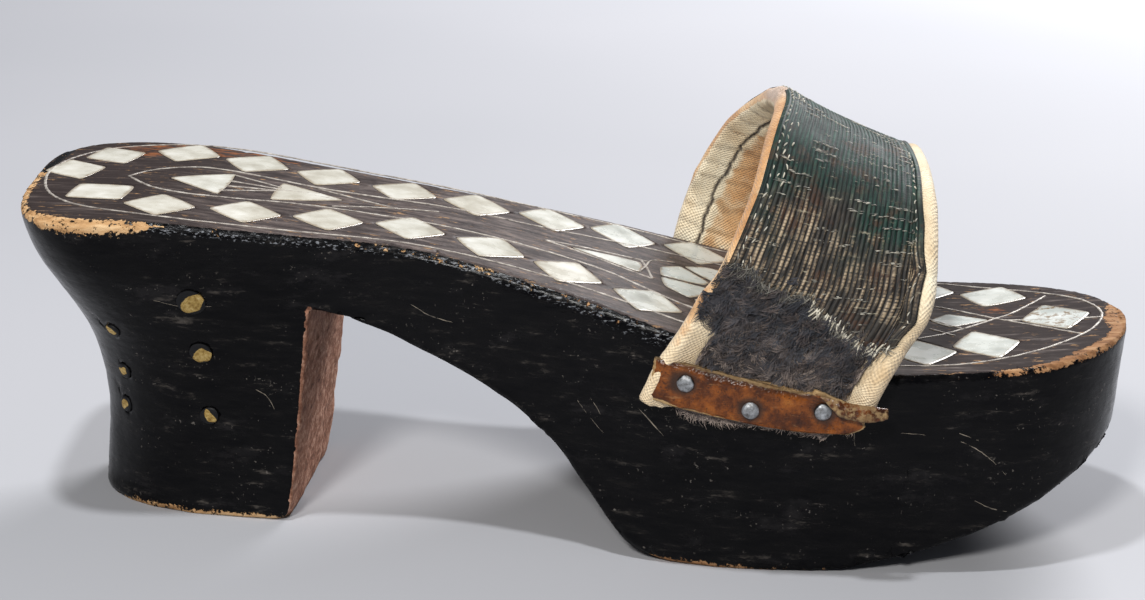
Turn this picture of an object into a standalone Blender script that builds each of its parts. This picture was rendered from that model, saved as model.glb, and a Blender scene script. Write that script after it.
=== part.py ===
"""Inlaid wooden mule: a carved platform clog with pearl inlay and a nailed cloth strap.

Metres, +Z up. The clog stands on its heel and on the flat of its forefoot. The toe points to +X,
and the origin is on the floor below the middle of the clog's length. Places along the clog are
counted from the back of the heel, and move() brings them to the origin's frame.
"""

import bpy
import bmesh
from math import cos, degrees, pi, radians, sin
from mathutils import Matrix, Vector

# Carved sole
LENGTH = 0.2358
HEEL_WIDTH = 0.075
WAIST_WIDTH = 0.055
BALL_WIDTH = 0.077
HEEL_HEIGHT = 0.0677
BALL_HEIGHT = 0.0430
HEEL_CAP = 0.036          # length of the round end at the back
TOE_CAP = 0.035           # length of the round end at the front
HEEL_CAP_POWER = 3.6      # 2 is an ellipse, more is squarer
TOE_CAP_POWER = 2.15
HEEL_SKEW = 0.095         # the heel's back runs this much off square, far side to the back
BACK_CORNER = 0.0012      # so its far corner lies this far behind the middle of its back
RIM_ROUND = 0.0011        # rounding of the footbed's edge
TOE_LEAN = 0.0035         # how far the front wall leans in at the floor
TOE_LEAN_START = 0.80     # share of the length where that lean begins
WAIST_BLEND = 0.12        # share of the length over which the heel's flare dies out in the waist

# Heel block
HEEL_SETBACK = 0.0161     # how far the heel's back stands in from the rim
HEEL_FOOT_LENGTH = 0.0450
HEEL_FOOT_WIDTH = 0.0492
HEEL_FOOT_CAP = 0.030     # length of its round back
HEEL_FOOT_CAP_POWER = 2.2
HEEL_FOOT_TAPER = 0.86    # width of its back against its front
BREAST_HEIGHT = 0.0485    # top of the heel's front face
BREAST_LEAN = 0.0052      # how far the front face leans forward at its top

# Underside
FLAT_START = 0.1458       # the forefoot stands on the floor from here
FLAT_END = 0.1698         # to here
TOE_RISE = 0.0240         # how far the underside rises at the toe

# Pearl inlay: plates that keep their places when the clog's sizes change
PEARL_THICKNESS = 0.0012
PEARL_PITCH = 0.069 * LENGTH          # closest spacing in a side row
PEARL_JOINT = 0.0017                  # wood left between two plates of a side row
PEARL_LENGTH = PEARL_PITCH - PEARL_JOINT
PEARL_WIDTH = 0.223 * BALL_WIDTH
PEARL_INSET = 0.170 * BALL_WIDTH      # from the clog's edge to the middle of a side row
PEARL_PROUD = 0.0001                  # the plates stand this much above the wood
POCKET_GAP = 0.0003                   # clearance round and under a plate
PATTERN_SHIFT = 0.0325 * BALL_WIDTH   # the whole pattern lies this much toward the far side
ROSETTE_RADIUS = 0.2026 * BALL_WIDTH
ROSETTE_HOLE = 0.37 * ROSETTE_RADIUS
ROSETTE_PETALS = 7
ROSETTE_TURN = 187                    # degrees from the toe to one joint between petals
ROSETTE_PLACE = 0.642                 # its middle, as a share of the length
WEDGE_WIDTH = 0.234 * BALL_WIDTH
PEARL_FOLLOW = 0.8                    # how fully a lozenge turns with the clog's edge

# Strap
STRAP_REAR_RISE = 0.0424  # inner face above the footbed, rear edge
STRAP_FRONT_RISE = 0.0318
STRAP_FULLNESS = 2.25     # 2 is an elliptic arch, more is squarer
STRAP_DROP = 0.0142       # the ends hang this far below the footbed's edge
LINING_THICKNESS = 0.0011
HEM_THICKNESS = 0.0007    # where the lining is turned over an edge
HEM_WIDTH = 0.0088
FELT_THICKNESS = 0.0018
COVER_THICKNESS = 0.0008
COVER_REAR_MARGIN = 0.0016
COVER_FRONT_MARGIN = 0.0030
LAYER_GAP = 0.0003

# Leather strips and their nails
TAB_THICKNESS = 0.0016
TAB_TOP = 0.0036          # below the footbed's edge
TAB_BOTTOM = 0.0128
TAB_REAR_INSET = 0.0012   # from the strap's rear edge
TAB_FRONT_REACH = 0.0045  # past the strap's front edge
TAB_FRONT_SLANT = 0.0018  # its lower front corner stands this far behind its upper one
NAIL_HEAD_RADIUS = 0.0020
NAIL_HEAD_HEIGHT = 0.0007
NAIL_SHANK_RADIUS = 0.0006
NAIL_SHANK_IN_WOOD = 0.0080

# Brass pins in the heel
PIN_RADIUS = 0.0017
PIN_LENGTH = 0.0080
PIN_PROUD = 0.0003

# Width of the footbed: place as a share of the length, the width it follows, share of half of it.
WIDTH_ROWS = [
    (0.000, HEEL_WIDTH, 1.110),
    (0.125, HEEL_WIDTH, 0.984),
    (0.250, HEEL_WIDTH, 0.848),
    (0.375, WAIST_WIDTH, 0.995),
    (0.500, WAIST_WIDTH, 1.181),
    (0.625, BALL_WIDTH, 0.994),
    (0.750, BALL_WIDTH, 0.983),
    (0.875, BALL_WIDTH, 0.899),
    (1.000, BALL_WIDTH, 0.838),
]

# Height of the footbed: place as a share of the length, the height it follows, share of it.
HEIGHT_ROWS = [
    (0.000, HEEL_HEIGHT, 0.996),
    (0.125, HEEL_HEIGHT, 0.998),
    (0.250, HEEL_HEIGHT, 0.959),
    (0.375, HEEL_HEIGHT, 0.911),
    (0.500, HEEL_HEIGHT, 0.821),
    (0.625, BALL_HEIGHT, 1.120),
    (0.750, BALL_HEIGHT, 0.998),
    (0.875, BALL_HEIGHT, 1.011),
    (1.000, BALL_HEIGHT, 1.085),
]

# Flare of the heel block: height as a share of the footbed's, share of the full setback there.
FLARE_ROWS = [
    (0.000, 0.945),
    (0.070, 0.955),
    (0.140, 0.980),
    (0.220, 1.000),
    (0.300, 1.000),
    (0.390, 0.965),
    (0.457, 0.912),
    (0.515, 0.850),
    (0.571, 0.765),
    (0.651, 0.605),
    (0.739, 0.405),
    (0.825, 0.215),
    (0.890, 0.105),
    (0.945, 0.035),
    (1.000, 0.000),
]

# Arch under the waist: share of the way from breast to forefoot flat, share of the breast's height.
ARCH_ROWS = [
    (0.000, 1.000),
    (0.100, 0.962),
    (0.207, 0.892),
    (0.314, 0.812),
    (0.406, 0.742),
    (0.467, 0.693),
    (0.565, 0.590),
    (0.650, 0.466),
    (0.712, 0.326),
    (0.780, 0.180),
    (0.840, 0.055),
    (0.915, 0.014),
    (1.000, 0.000),
]

# Toe rocker: share of the way from the forefoot flat to the tip, share of the toe's rise.
TOE_ROWS = [
    (0.00, 0.000),
    (0.08, 0.020),
    (0.15, 0.055),
    (0.24, 0.118),
    (0.37, 0.215),
    (0.49, 0.342),
    (0.59, 0.450),
    (0.68, 0.585),
    (0.75, 0.675),
    (0.81, 0.780),
    (0.88, 0.905),
    (1.06, 1.260),
]

# Strap edges: girth from -1 at the near end to 1 at the far end, rear and front edge as shares
# of the length.
STRAP_ROWS = [
    (-1.00, 0.5756, 0.7557),
    (-0.82, 0.5990, 0.7822),
    (-0.65, 0.6340, 0.8137),
    (-0.45, 0.6550, 0.8183),
    (-0.20, 0.6670, 0.8158),
    (0.00, 0.6720, 0.8117),
    (0.25, 0.6550, 0.8046),
    (0.50, 0.6214, 0.7934),
    (0.80, 0.5868, 0.7730),
    (1.00, 0.5756, 0.7557),
]
STRAP_SPRING = 0.82       # girth where the strap leaves the wooden wall

# Worn lower edge of the cover on the near side: share across the cover, girth where it ends.
TORN_ROWS = [
    (0.00, -0.640),
    (0.10, -0.625),
    (0.22, -0.655),
    (0.34, -0.650),
    (0.47, -0.655),
    (0.60, -0.690),
    (0.72, -0.715),
    (0.86, -0.735),
    (1.00, -0.745),
]

# Side rows of lozenges: places along as shares of the length.
ROW_PEARLS = {
    "near": (0.138, 0.212, 0.284, 0.356, 0.429, 0.500, 0.572, 0.653, 0.733, 0.813),
    "far": (0.117, 0.186, 0.257, 0.332, 0.401, 0.471, 0.538, 0.608, 0.680, 0.752, 0.823),
}

# Lozenges round the two ends: place along, share of the half width across, turn in degrees,
# share of the lozenge's length, share of its width.
END_PEARLS = [
    (0.0290, 0.146, 22, 0.87, 1.14),
    (0.0509, 0.523, 27, 0.90, 1.01),
    (0.0751, -0.400, 43, 1.08, 1.00),
    (0.8710, -0.515, 12, 0.96, 1.10),
    (0.8891, 0.540, -18, 1.00, 0.90),
    (0.9389, 0.000, 10, 1.00, 1.08),
]

# Wedges on the middle line: places of the base, of the widest part and of the tip, share of the
# wedge's width.
WEDGES = [
    (0.177, 0.176, 0.124, 1.00),
    (0.223, 0.224, 0.285, 0.80),
    (0.560, 0.558, 0.496, 0.41),
    (0.828, 0.843, 0.878, 0.50),
]

# Outline of a petal: share of its angle, share of the rosette's radius. The first and the last
# point lie on the rosette's hole.
PETAL_ROWS = [(0.06, 0.93), (0.50, 1.00), (0.94, 0.93)]
PETAL_FOOT = 0.22         # share of a petal's angle where its foot begins on the hole

# Edges of a leather strip: share of the way from its rear end to its front end, shares of its
# height from the top that its upper and its lower edge have there.
TAB_ROWS = [
    (0.00, 0.00, 1.00),
    (0.40, 0.00, 0.98),
    (0.72, 0.00, 0.86),
    (0.80, 0.13, 0.81),
    (0.90, 0.20, 0.77),
    (1.00, 0.24, 0.48),
]

# Nails: place along as a share of the length, distance below the footbed's edge.
NAILS = [(0.614, 0.0073), (0.666, 0.0094), (0.725, 0.0066)]

# Pins on the near side: place along as a share of the length, share of the footbed's height,
# share of the pin's radius.
PINS = [
    (0.170, 0.739, 1.35),
    (0.169, 0.554, 1.10),
    (0.171, 0.336, 0.90),
    (0.056, 0.595, 0.80),
    (0.048, 0.441, 0.80),
    (0.040, 0.319, 0.80),
]

SIDES = {"near": -1, "far": 1}
SLOPE_STEP = 0.003        # metres, or shares, between the two points that give a slope
SOLE_STATIONS = 56
STRAP_STEPS = 40
COVER_COLUMNS = 10
BAND_STEPS = 5
TAB_STEPS = 14
ROUND_SIDES = 10


def move(x, y, z):
    """A place counted from the middle of the heel's back, in the frame with its origin mid-length."""
    return Vector((x - (LENGTH - BACK_CORNER) / 2, y, z))


def read_table(rows, x, column=1):
    """A smooth curve through one column of a table whose first column rises."""
    places = [row[0] for row in rows]
    values = [row[column] for row in rows]
    x = min(max(x, places[0]), places[-1])
    i = max(k for k in range(len(rows) - 1) if places[k] <= x)
    step = places[i + 1] - places[i]

    def slope(k):
        before, after = max(k - 1, 0), min(k + 1, len(rows) - 1)
        return (values[after] - values[before]) / (places[after] - places[before])

    t = (x - places[i]) / step
    a, b = values[i], values[i + 1]
    return (a * (1 + 2 * t) * (1 - t) ** 2 + slope(i) * step * t * (1 - t) ** 2
            + b * t * t * (3 - 2 * t) + slope(i + 1) * step * t * t * (t - 1))


def cap_share(distance, cap, power):
    """1 past a round end, and down to 0 at its tip."""
    if distance >= cap:
        return 1.0
    reach = 1 - max(distance, 0) / cap
    return max(0.0, 1 - reach ** power) ** (1 / power)


WIDTHS = [(place, width / 2 * share) for place, width, share in WIDTH_ROWS]
HEIGHTS = [(place, height * share) for place, height, share in HEIGHT_ROWS]


def half_width(x):
    """Half the footbed's width at x from the back."""
    ends = cap_share(x, HEEL_CAP, HEEL_CAP_POWER) * cap_share(LENGTH - x, TOE_CAP, TOE_CAP_POWER)
    return read_table(WIDTHS, x / LENGTH) * ends


def top_height(x):
    """Height of the footbed at x from the back."""
    return read_table(HEIGHTS, x / LENGTH)


def stations(count):
    """Places along the clog, closer together at the two round ends."""
    return [LENGTH * (1 - cos(pi * i / count)) / 2 for i in range(count + 1)]


BREAST_FOOT = HEEL_SETBACK * FLARE_ROWS[0][1] + HEEL_FOOT_LENGTH
BREAST_TOP = BREAST_FOOT + BREAST_LEAN


def heel_foot_half_width(x):
    """Half the width of the heel's foot at x from the back."""
    back = BREAST_FOOT - HEEL_FOOT_LENGTH
    spread = HEEL_FOOT_TAPER + (1 - HEEL_FOOT_TAPER) * (x - back) / HEEL_FOOT_LENGTH
    return HEEL_FOOT_WIDTH / 2 * spread * cap_share(x - back, HEEL_FOOT_CAP, HEEL_FOOT_CAP_POWER)


def skewed(x, y, z):
    """The same point after the heel's back is turned a little off square."""
    return x - HEEL_SKEW * y * max(0.0, 1 - x / HEEL_CAP), y, z


def wall_point(x, share):
    """A point of the wall under the rim at x, at that share of the footbed's height."""
    y, top = half_width(x), top_height(x)
    setback = read_table(FLARE_ROWS, share)
    if x <= BREAST_TOP:
        along = x / BREAST_TOP
        foot_x = HEEL_SETBACK + (BREAST_FOOT - HEEL_SETBACK) * along
        foot_y = min(heel_foot_half_width(foot_x), y)
        lean = (1 - along ** 2) * setback + along ** 2 * (1 - share)
        px = x + (foot_x - x) * lean
        py = y + (foot_y - y) * setback
    else:
        fade = max(0.0, 1 - (x - BREAST_TOP) / (WAIST_BLEND * LENGTH))
        inset = (half_width(BREAST_TOP) - HEEL_FOOT_WIDTH / 2) * fade ** 2
        toe = max(0.0, (x / LENGTH - TOE_LEAN_START) / (1 - TOE_LEAN_START))
        px = x - TOE_LEAN * toe ** 2 * (1 - share)
        py = y - inset * setback
    return px, py, share * top


def near_wall(x, share):
    """A point of the near wall."""
    px, py, pz = wall_point(x, share)
    return Vector(skewed(px, -py, pz))


def rim_points(x):
    """The wall at x as (x, y, z), from the floor to the rounded rim."""
    rim_share = 1 - RIM_ROUND / top_height(x)
    shares = [row[0] for row in FLARE_ROWS[:-1] if row[0] < rim_share] + [rim_share]
    points = [wall_point(x, share) for share in shares]
    px, py, pz = points[-1]
    for turn in (45, 90):
        inset = min(RIM_ROUND * (1 - cos(radians(turn))), py)
        points.append((px, py - inset, pz + RIM_ROUND * sin(radians(turn))))
    return points


def material(name, color, roughness, metallic=0.0):
    made = bpy.data.materials.new(name)
    made.use_nodes = True
    shader = made.node_tree.nodes["Principled BSDF"]
    shader.inputs["Base Color"].default_value = (*color, 1)
    shader.inputs["Roughness"].default_value = roughness
    shader.inputs["Metallic"].default_value = metallic
    return made


def link(name, mesh, collection, finish=None):
    made = bpy.data.objects.new(name, mesh)
    collection.objects.link(made)
    if finish:
        made.data.materials.append(finish)
    return made


def mesh_from(bm, name, smooth=False):
    """A mesh from a bmesh, with doubled points merged and faces turned outward."""
    bmesh.ops.remove_doubles(bm, verts=bm.verts, dist=0.000005)
    bmesh.ops.dissolve_degenerate(bm, edges=bm.edges, dist=0.000002)
    bmesh.ops.recalc_face_normals(bm, faces=bm.faces)
    mesh = bpy.data.meshes.new(name)
    bm.to_mesh(mesh)
    bm.free()
    if smooth:
        mesh.shade_smooth()
        mesh.set_sharp_from_angle(angle=radians(35))
    return mesh


def loft(rings, name, smooth=True):
    """A closed solid through rings of points, each ring closed and of the same count."""
    bm = bmesh.new()
    rows = [[bm.verts.new(move(*p)) for p in ring] for ring in rings]
    for a, b in zip(rows, rows[1:]):
        for i in range(len(a)):
            k = (i + 1) % len(a)
            bm.faces.new((a[i], a[k], b[k], b[i]))
    bm.faces.new(rows[0])
    bm.faces.new(rows[-1])
    bmesh.ops.triangulate(bm, faces=bm.faces)
    return mesh_from(bm, name, smooth)


def prism(outline, low, high, name):
    """A plan outline extruded upward. low and high give its two heights at a place along."""
    bm = bmesh.new()
    base = bm.faces.new([bm.verts.new(move(x, y, low(x))) for x, y in outline])
    lifted = bmesh.ops.extrude_face_region(bm, geom=[base], use_keep_orig=True)
    for vert, (x, y) in zip([v for v in lifted["geom"] if isinstance(v, bmesh.types.BMVert)], outline):
        vert.co = move(x, y, high(x))
    bmesh.ops.triangulate(bm, faces=bm.faces)
    return mesh_from(bm, name)


def apply_boolean(target, cutter, operation="DIFFERENCE"):
    cut = target.modifiers.new(cutter.name, "BOOLEAN")
    cut.operation = operation
    cut.object = cutter
    return cut


def hide_cutter(made):
    made.hide_render = True
    made.display_type = "WIRE"


def profile_cutter(name, outline, collection):
    """A side profile given as (place along, height), extruded right across the clog."""
    curve = bpy.data.curves.new(name, "CURVE")
    curve.dimensions = "2D"
    curve.fill_mode = "BOTH"
    curve.extrude = max(HEEL_WIDTH, BALL_WIDTH)
    line = curve.splines.new("POLY")
    line.points.add(len(outline) - 1)
    for point, (x, z) in zip(line.points, outline):
        point.co = (move(x, 0, 0).x, z, 0, 1)
    line.use_cyclic_u = True
    drawn = link(name + "_drawn", curve, collection)
    drawn.rotation_euler = (radians(90), 0, 0)
    bpy.context.view_layer.update()
    solid = bpy.data.meshes.new_from_object(drawn.evaluated_get(bpy.context.evaluated_depsgraph_get()))
    bm = bmesh.new()
    bm.from_mesh(solid)
    bmesh.ops.transform(bm, matrix=drawn.matrix_world, verts=bm.verts)
    bpy.data.objects.remove(drawn)
    cutter = link(name, mesh_from(bm, name), collection)
    hide_cutter(cutter)
    return cutter


def underside_cutters(collection):
    """What is sawn away under the waist and under the toe."""
    below = -0.01
    arch_run = FLAT_START - BREAST_TOP
    arch = [(BREAST_TOP + arch_run * a, BREAST_HEIGHT * b) for a, b in ARCH_ROWS[:-1]]
    slope = BREAST_LEAN / BREAST_HEIGHT
    arch = [(BREAST_FOOT + slope * below, below)] + arch + [(FLAT_START, 0), (FLAT_START, below)]
    toe_run = LENGTH - FLAT_END
    toe = [(FLAT_END + toe_run * a, TOE_RISE * b) for a, b in TOE_ROWS]
    toe = [(FLAT_END, below)] + toe + [(toe[-1][0], below)]
    return [profile_cutter("cut_arch", arch, collection), profile_cutter("cut_toe", toe, collection)]


def sole_blank():
    """The clog's body before its underside is sawn: rounded walls from the floor to the rim."""
    bm = bmesh.new()
    grid = {}
    places = stations(SOLE_STATIONS)
    for i, x in enumerate(places):
        for j, (px, py, pz) in enumerate(rim_points(x)):
            grid[i, j, -1] = bm.verts.new(move(*skewed(px, -py, pz)))
            grid[i, j, 1] = bm.verts.new(move(*skewed(px, py, pz)))
    top = len(rim_points(places[0])) - 1
    for i in range(SOLE_STATIONS):
        for side in (-1, 1):
            for j in range(top):
                bm.faces.new((grid[i, j, side], grid[i + 1, j, side],
                              grid[i + 1, j + 1, side], grid[i, j + 1, side]))
        for j in (0, top):
            bm.faces.new((grid[i, j, -1], grid[i + 1, j, -1], grid[i + 1, j, 1], grid[i, j, 1]))
    bmesh.ops.triangulate(bm, faces=bm.faces)
    return mesh_from(bm, "carved_sole", smooth=True)


def lozenge(x, y, length, width, turn=0.0):
    """Plan outline of a lozenge round (x, y)."""
    c, s = cos(radians(turn)), sin(radians(turn))
    corners = ((-length / 2, 0), (0, -width / 2), (length / 2, 0), (0, width / 2))
    return [(x + a * c - b * s, y + a * s + b * c) for a, b in corners]


def grow(outline, gap):
    """A convex plan outline moved outward by a gap, its corners kept sharp."""
    count = len(outline)
    area = sum(outline[i][0] * outline[(i + 1) % count][1] - outline[(i + 1) % count][0] * outline[i][1]
               for i in range(count))
    turn = 1 if area > 0 else -1
    lines = []
    for i in range(count):
        (ax, ay), (bx, by) = outline[i], outline[(i + 1) % count]
        run = ((bx - ax) ** 2 + (by - ay) ** 2) ** 0.5
        nx, ny = turn * (by - ay) / run, -turn * (bx - ax) / run
        lines.append((nx, ny, nx * ax + ny * ay + gap))
    grown = []
    for i in range(count):
        (a1, b1, c1), (a2, b2, c2) = lines[i - 1], lines[i]
        det = a1 * b2 - a2 * b1
        grown.append(((c1 * b2 - c2 * b1) / det, (a1 * c2 - a2 * c1) / det))
    return grown


def row_lean(x, side):
    """Turn, in degrees, that lays a lozenge along the clog's edge."""
    rise = half_width(x + SLOPE_STEP) - half_width(x - SLOPE_STEP)
    return degrees(side * PEARL_FOLLOW * rise / (2 * SLOPE_STEP))


def pearl_outlines():
    """Every pearl plate's name and plan outline."""
    found = []
    for side_name, side in SIDES.items():
        for number, place in enumerate(ROW_PEARLS[side_name], 1):
            x = place * LENGTH
            y = side * (half_width(x) - PEARL_INSET) + PATTERN_SHIFT
            outline = lozenge(x, y, PEARL_LENGTH, PEARL_WIDTH, row_lean(x, side))
            found.append((f"pearl_{side_name}_{number:02d}", outline))
    for number, (place, across, turn, long_share, wide_share) in enumerate(END_PEARLS, 1):
        x = place * LENGTH
        y = across * half_width(x) + PATTERN_SHIFT
        outline = lozenge(x, y, PEARL_LENGTH * long_share, PEARL_WIDTH * wide_share, turn)
        found.append((f"pearl_end_{number}", outline))
    for number, (base, widest, tip, wide_share) in enumerate(WEDGES, 1):
        side = wide_share * WEDGE_WIDTH / 2
        outline = [(base * LENGTH, PATTERN_SHIFT), (widest * LENGTH, PATTERN_SHIFT - side),
                   (tip * LENGTH, PATTERN_SHIFT), (widest * LENGTH, PATTERN_SHIFT + side)]
        found.append((f"pearl_wedge_{number}", outline))
    return found + rosette_outlines()


def rosette_outlines():
    """Petals in a ring, with a narrow joint of wood between neighbours."""
    step = 360 / ROSETTE_PETALS

    def ring_point(angle, radius):
        turn = radians(angle)
        return ROSETTE_PLACE * LENGTH + radius * cos(turn), PATTERN_SHIFT + radius * sin(turn)

    found = []
    for i in range(ROSETTE_PETALS):
        start = ROSETTE_TURN + step * i
        outer = [ring_point(start + step * share, ROSETTE_RADIUS * reach) for share, reach in PETAL_ROWS]
        feet = [ring_point(start + step * share, ROSETTE_HOLE) for share in (PETAL_FOOT, 1 - PETAL_FOOT)]
        outline = [feet[0]] + outer + [feet[1]]
        found.append((f"pearl_petal_{i + 1}", outline))
    return found


def make_pearls(collection, cutters, finish):
    """The pearl plates, and one cutter with all of their pockets."""
    pockets = bmesh.new()
    for name, outline in pearl_outlines():
        plate = prism(outline, lambda x: top_height(x) + PEARL_PROUD - PEARL_THICKNESS,
                      lambda x: top_height(x) + PEARL_PROUD, name)
        link(name, plate, collection, finish)
        floor = PEARL_THICKNESS - PEARL_PROUD + POCKET_GAP
        pocket = prism(grow(outline, POCKET_GAP), lambda x: top_height(x) - floor,
                       lambda x: top_height(x) + floor, name + "_pocket")
        pockets.from_mesh(pocket)
        bpy.data.meshes.remove(pocket)
    mesh = bpy.data.meshes.new("cut_pockets")
    pockets.to_mesh(mesh)
    pockets.free()
    cutter = link("cut_pockets", mesh, cutters)
    hide_cutter(cutter)
    return cutter


def strap_base(girth, across):
    """The strap's inner face. across runs from 0 at the rear edge to 1 at the front edge."""
    rear, front = read_table(STRAP_ROWS, girth, 1), read_table(STRAP_ROWS, girth, 2)
    x = LENGTH * (rear + (front - rear) * across)
    side = -1 if girth < 0 else 1
    out = half_width(x) + LAYER_GAP
    if abs(girth) > STRAP_SPRING:
        drop = STRAP_DROP * (abs(girth) - STRAP_SPRING) / (1 - STRAP_SPRING)
        return Vector((x, side * out, top_height(x) - drop))
    angle = girth / STRAP_SPRING * pi / 2
    rise = STRAP_REAR_RISE + (STRAP_FRONT_RISE - STRAP_REAR_RISE) * across
    power = 2 / STRAP_FULLNESS
    y = side * out * abs(sin(angle)) ** power
    return Vector((x, y, top_height(x) + rise * cos(angle) ** power))


def strap_width(girth):
    """Width of the strap along the clog at that girth."""
    return LENGTH * (read_table(STRAP_ROWS, girth, 2) - read_table(STRAP_ROWS, girth, 1))


def strap_point(girth, across, lift):
    """A point that far outside the strap's inner face."""
    inside = min(max(girth, -1 + SLOPE_STEP), 1 - SLOPE_STEP)
    along = strap_base(inside + SLOPE_STEP, across) - strap_base(inside - SLOPE_STEP, across)
    forward = strap_base(inside, across + SLOPE_STEP) - strap_base(inside, across - SLOPE_STEP)
    out = forward.cross(along).normalized()
    if out.dot(strap_base(inside, across) - Vector((strap_base(inside, across).x, 0, 0))) < 0:
        out.negate()
    return strap_base(girth, across) + out * lift


def girths(count, start=-1.0, end=1.0):
    return [start + (end - start) * i / count for i in range(count + 1)]


FELT_LOW = LINING_THICKNESS + LAYER_GAP
FELT_HIGH = FELT_LOW + FELT_THICKNESS
HEM_LOW = FELT_HIGH + LAYER_GAP
HEM_HIGH = HEM_LOW + HEM_THICKNESS
COVER_LOW = HEM_HIGH + LAYER_GAP
COVER_HIGH = COVER_LOW + COVER_THICKNESS
TAB_LOW = HEM_HIGH + LAYER_GAP
TAB_HIGH = TAB_LOW + TAB_THICKNESS


def strap_sweep(section, name, start=-1.0, end=1.0):
    """Sweeps a section round the strap. The section lists (distance from the rear edge, lift)."""
    rings = []
    for girth in girths(STRAP_STEPS, start, end):
        width = strap_width(girth)
        rings.append([strap_point(girth, d / width, lift) for d, lift in section(width)])
    return loft(rings, name)


def across_band(start, end, lift):
    """Points at one lift from start to end, close enough to follow the bend of the clog's side."""
    return [(start + (end - start) * i / BAND_STEPS, lift) for i in range(1, BAND_STEPS)]


def lining_section(width):
    """The lining: a wall inside the strap, turned outward over both edges as hems."""
    hem = HEM_THICKNESS
    half = [(0, 0), (0, HEM_HIGH), (HEM_WIDTH, HEM_HIGH), (HEM_WIDTH, HEM_LOW), (hem, HEM_LOW),
            (hem, LINING_THICKNESS)]
    other = [(width - d, lift) for d, lift in reversed(half)]
    return (half + across_band(hem, width - hem, LINING_THICKNESS) + other
            + across_band(width, 0, 0))


def felt_section(width):
    """The felt, between the lining's wall and its hems, and flush with the hems between them."""
    edge = HEM_THICKNESS + LAYER_GAP
    step = HEM_WIDTH + LAYER_GAP
    half = [(edge, FELT_LOW), (edge, FELT_HIGH), (step, FELT_HIGH), (step, HEM_HIGH)]
    other = [(width - d, lift) for d, lift in reversed(half)]
    return (half + across_band(step, width - step, HEM_HIGH) + other
            + across_band(width - edge, edge, FELT_LOW))


def drop_girth(drop):
    """Girth of a place that far below the footbed's edge, on the wooden wall."""
    return STRAP_SPRING + (1 - STRAP_SPRING) * drop / STRAP_DROP


def make_cover(finish, collection):
    """The ribbed cloth over the band, worn away low on the near side."""
    end_girth = drop_girth(TAB_TOP - LAYER_GAP)
    rings = []
    for i in range(STRAP_STEPS + 1):
        upper, lower = [], []
        for k in range(COVER_COLUMNS + 1):
            share = k / COVER_COLUMNS
            start = read_table(TORN_ROWS, share)
            girth = start + (end_girth - start) * i / STRAP_STEPS
            width = strap_width(girth)
            d = COVER_REAR_MARGIN + (width - COVER_REAR_MARGIN - COVER_FRONT_MARGIN) * share
            upper.append(strap_point(girth, d / width, COVER_HIGH))
            lower.append(strap_point(girth, d / width, COVER_LOW))
        rings.append(upper + lower[::-1])
    return link("strap_cover", loft(rings, "strap_cover"), collection, finish)


def wall_normal(x):
    """Outward direction of the far wall at x."""
    fall = half_width(x - SLOPE_STEP) - half_width(x + SLOPE_STEP)
    return Vector((fall, 2 * SLOPE_STEP, 0)).normalized()


def tab_point(x, drop, lift, side):
    """A point outside the wall, at that distance below the footbed's edge."""
    out = wall_normal(x)
    base = Vector((x, half_width(x) + LAYER_GAP, top_height(x) - drop)) + out * lift
    return Vector((base.x, side * base.y, base.z))


def tab_edge(drop, column):
    """Where the strap's rear (1) or front (2) edge is at that drop."""
    return LENGTH * read_table(STRAP_ROWS, drop_girth(drop), column)


def make_tab(name, side, finish, collection):
    """A leather strip along the strap's end."""
    rear_top = tab_edge(TAB_TOP, 1) + TAB_REAR_INSET
    rear_low = tab_edge(TAB_BOTTOM, 1) + TAB_REAR_INSET
    front = tab_edge(TAB_BOTTOM, 2) + TAB_FRONT_REACH
    rings = []
    for i in range(TAB_STEPS + 1):
        share = i / TAB_STEPS
        top_x = rear_top + (front - rear_top) * share
        low_x = rear_low + (front - TAB_FRONT_SLANT - rear_low) * share
        top_drop, low_drop = (TAB_TOP + (TAB_BOTTOM - TAB_TOP) * read_table(TAB_ROWS, share, column)
                              for column in (1, 2))
        corners = ((low_x, low_drop, TAB_LOW), (top_x, top_drop, TAB_LOW),
                   (top_x, top_drop, TAB_HIGH), (low_x, low_drop, TAB_HIGH))
        rings.append([tab_point(x, drop, lift, side) for x, drop, lift in corners])
    return link(name, loft(rings, name), collection, finish)


def facing(direction):
    """Rotation that turns +Z to a direction."""
    return direction.to_track_quat("Z", "Y")


def turned_piece(name, profile, place, direction, collection, finish):
    """A round piece from a profile of (radius, height), listed from its top to its bottom."""
    mesh = bpy.data.meshes.new(name)
    edges = [(i, i + 1) for i in range(len(profile) - 1)]
    mesh.from_pydata([(radius, 0, height) for radius, height in profile], edges, [])
    made = link(name, mesh, collection, finish)
    made.location = move(*place)
    made.rotation_mode = "QUATERNION"
    made.rotation_quaternion = facing(direction)
    screw = made.modifiers.new("turn", "SCREW")
    screw.steps = ROUND_SIDES
    screw.render_steps = ROUND_SIDES
    screw.use_merge_vertices = True
    screw.merge_threshold = 0.00001
    screw.use_smooth_shade = True
    return made


def drill(bm, place, direction, radius, depth, reach):
    """Adds a round cutter that goes depth into the surface at a place, and reach out of it."""
    middle = move(*place) + direction * (reach - depth) / 2
    matrix = Matrix.Translation(middle) @ facing(direction).to_matrix().to_4x4()
    bmesh.ops.create_cone(bm, cap_ends=True, segments=ROUND_SIDES, radius1=radius, radius2=radius,
                          depth=depth + reach, matrix=matrix)


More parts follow.
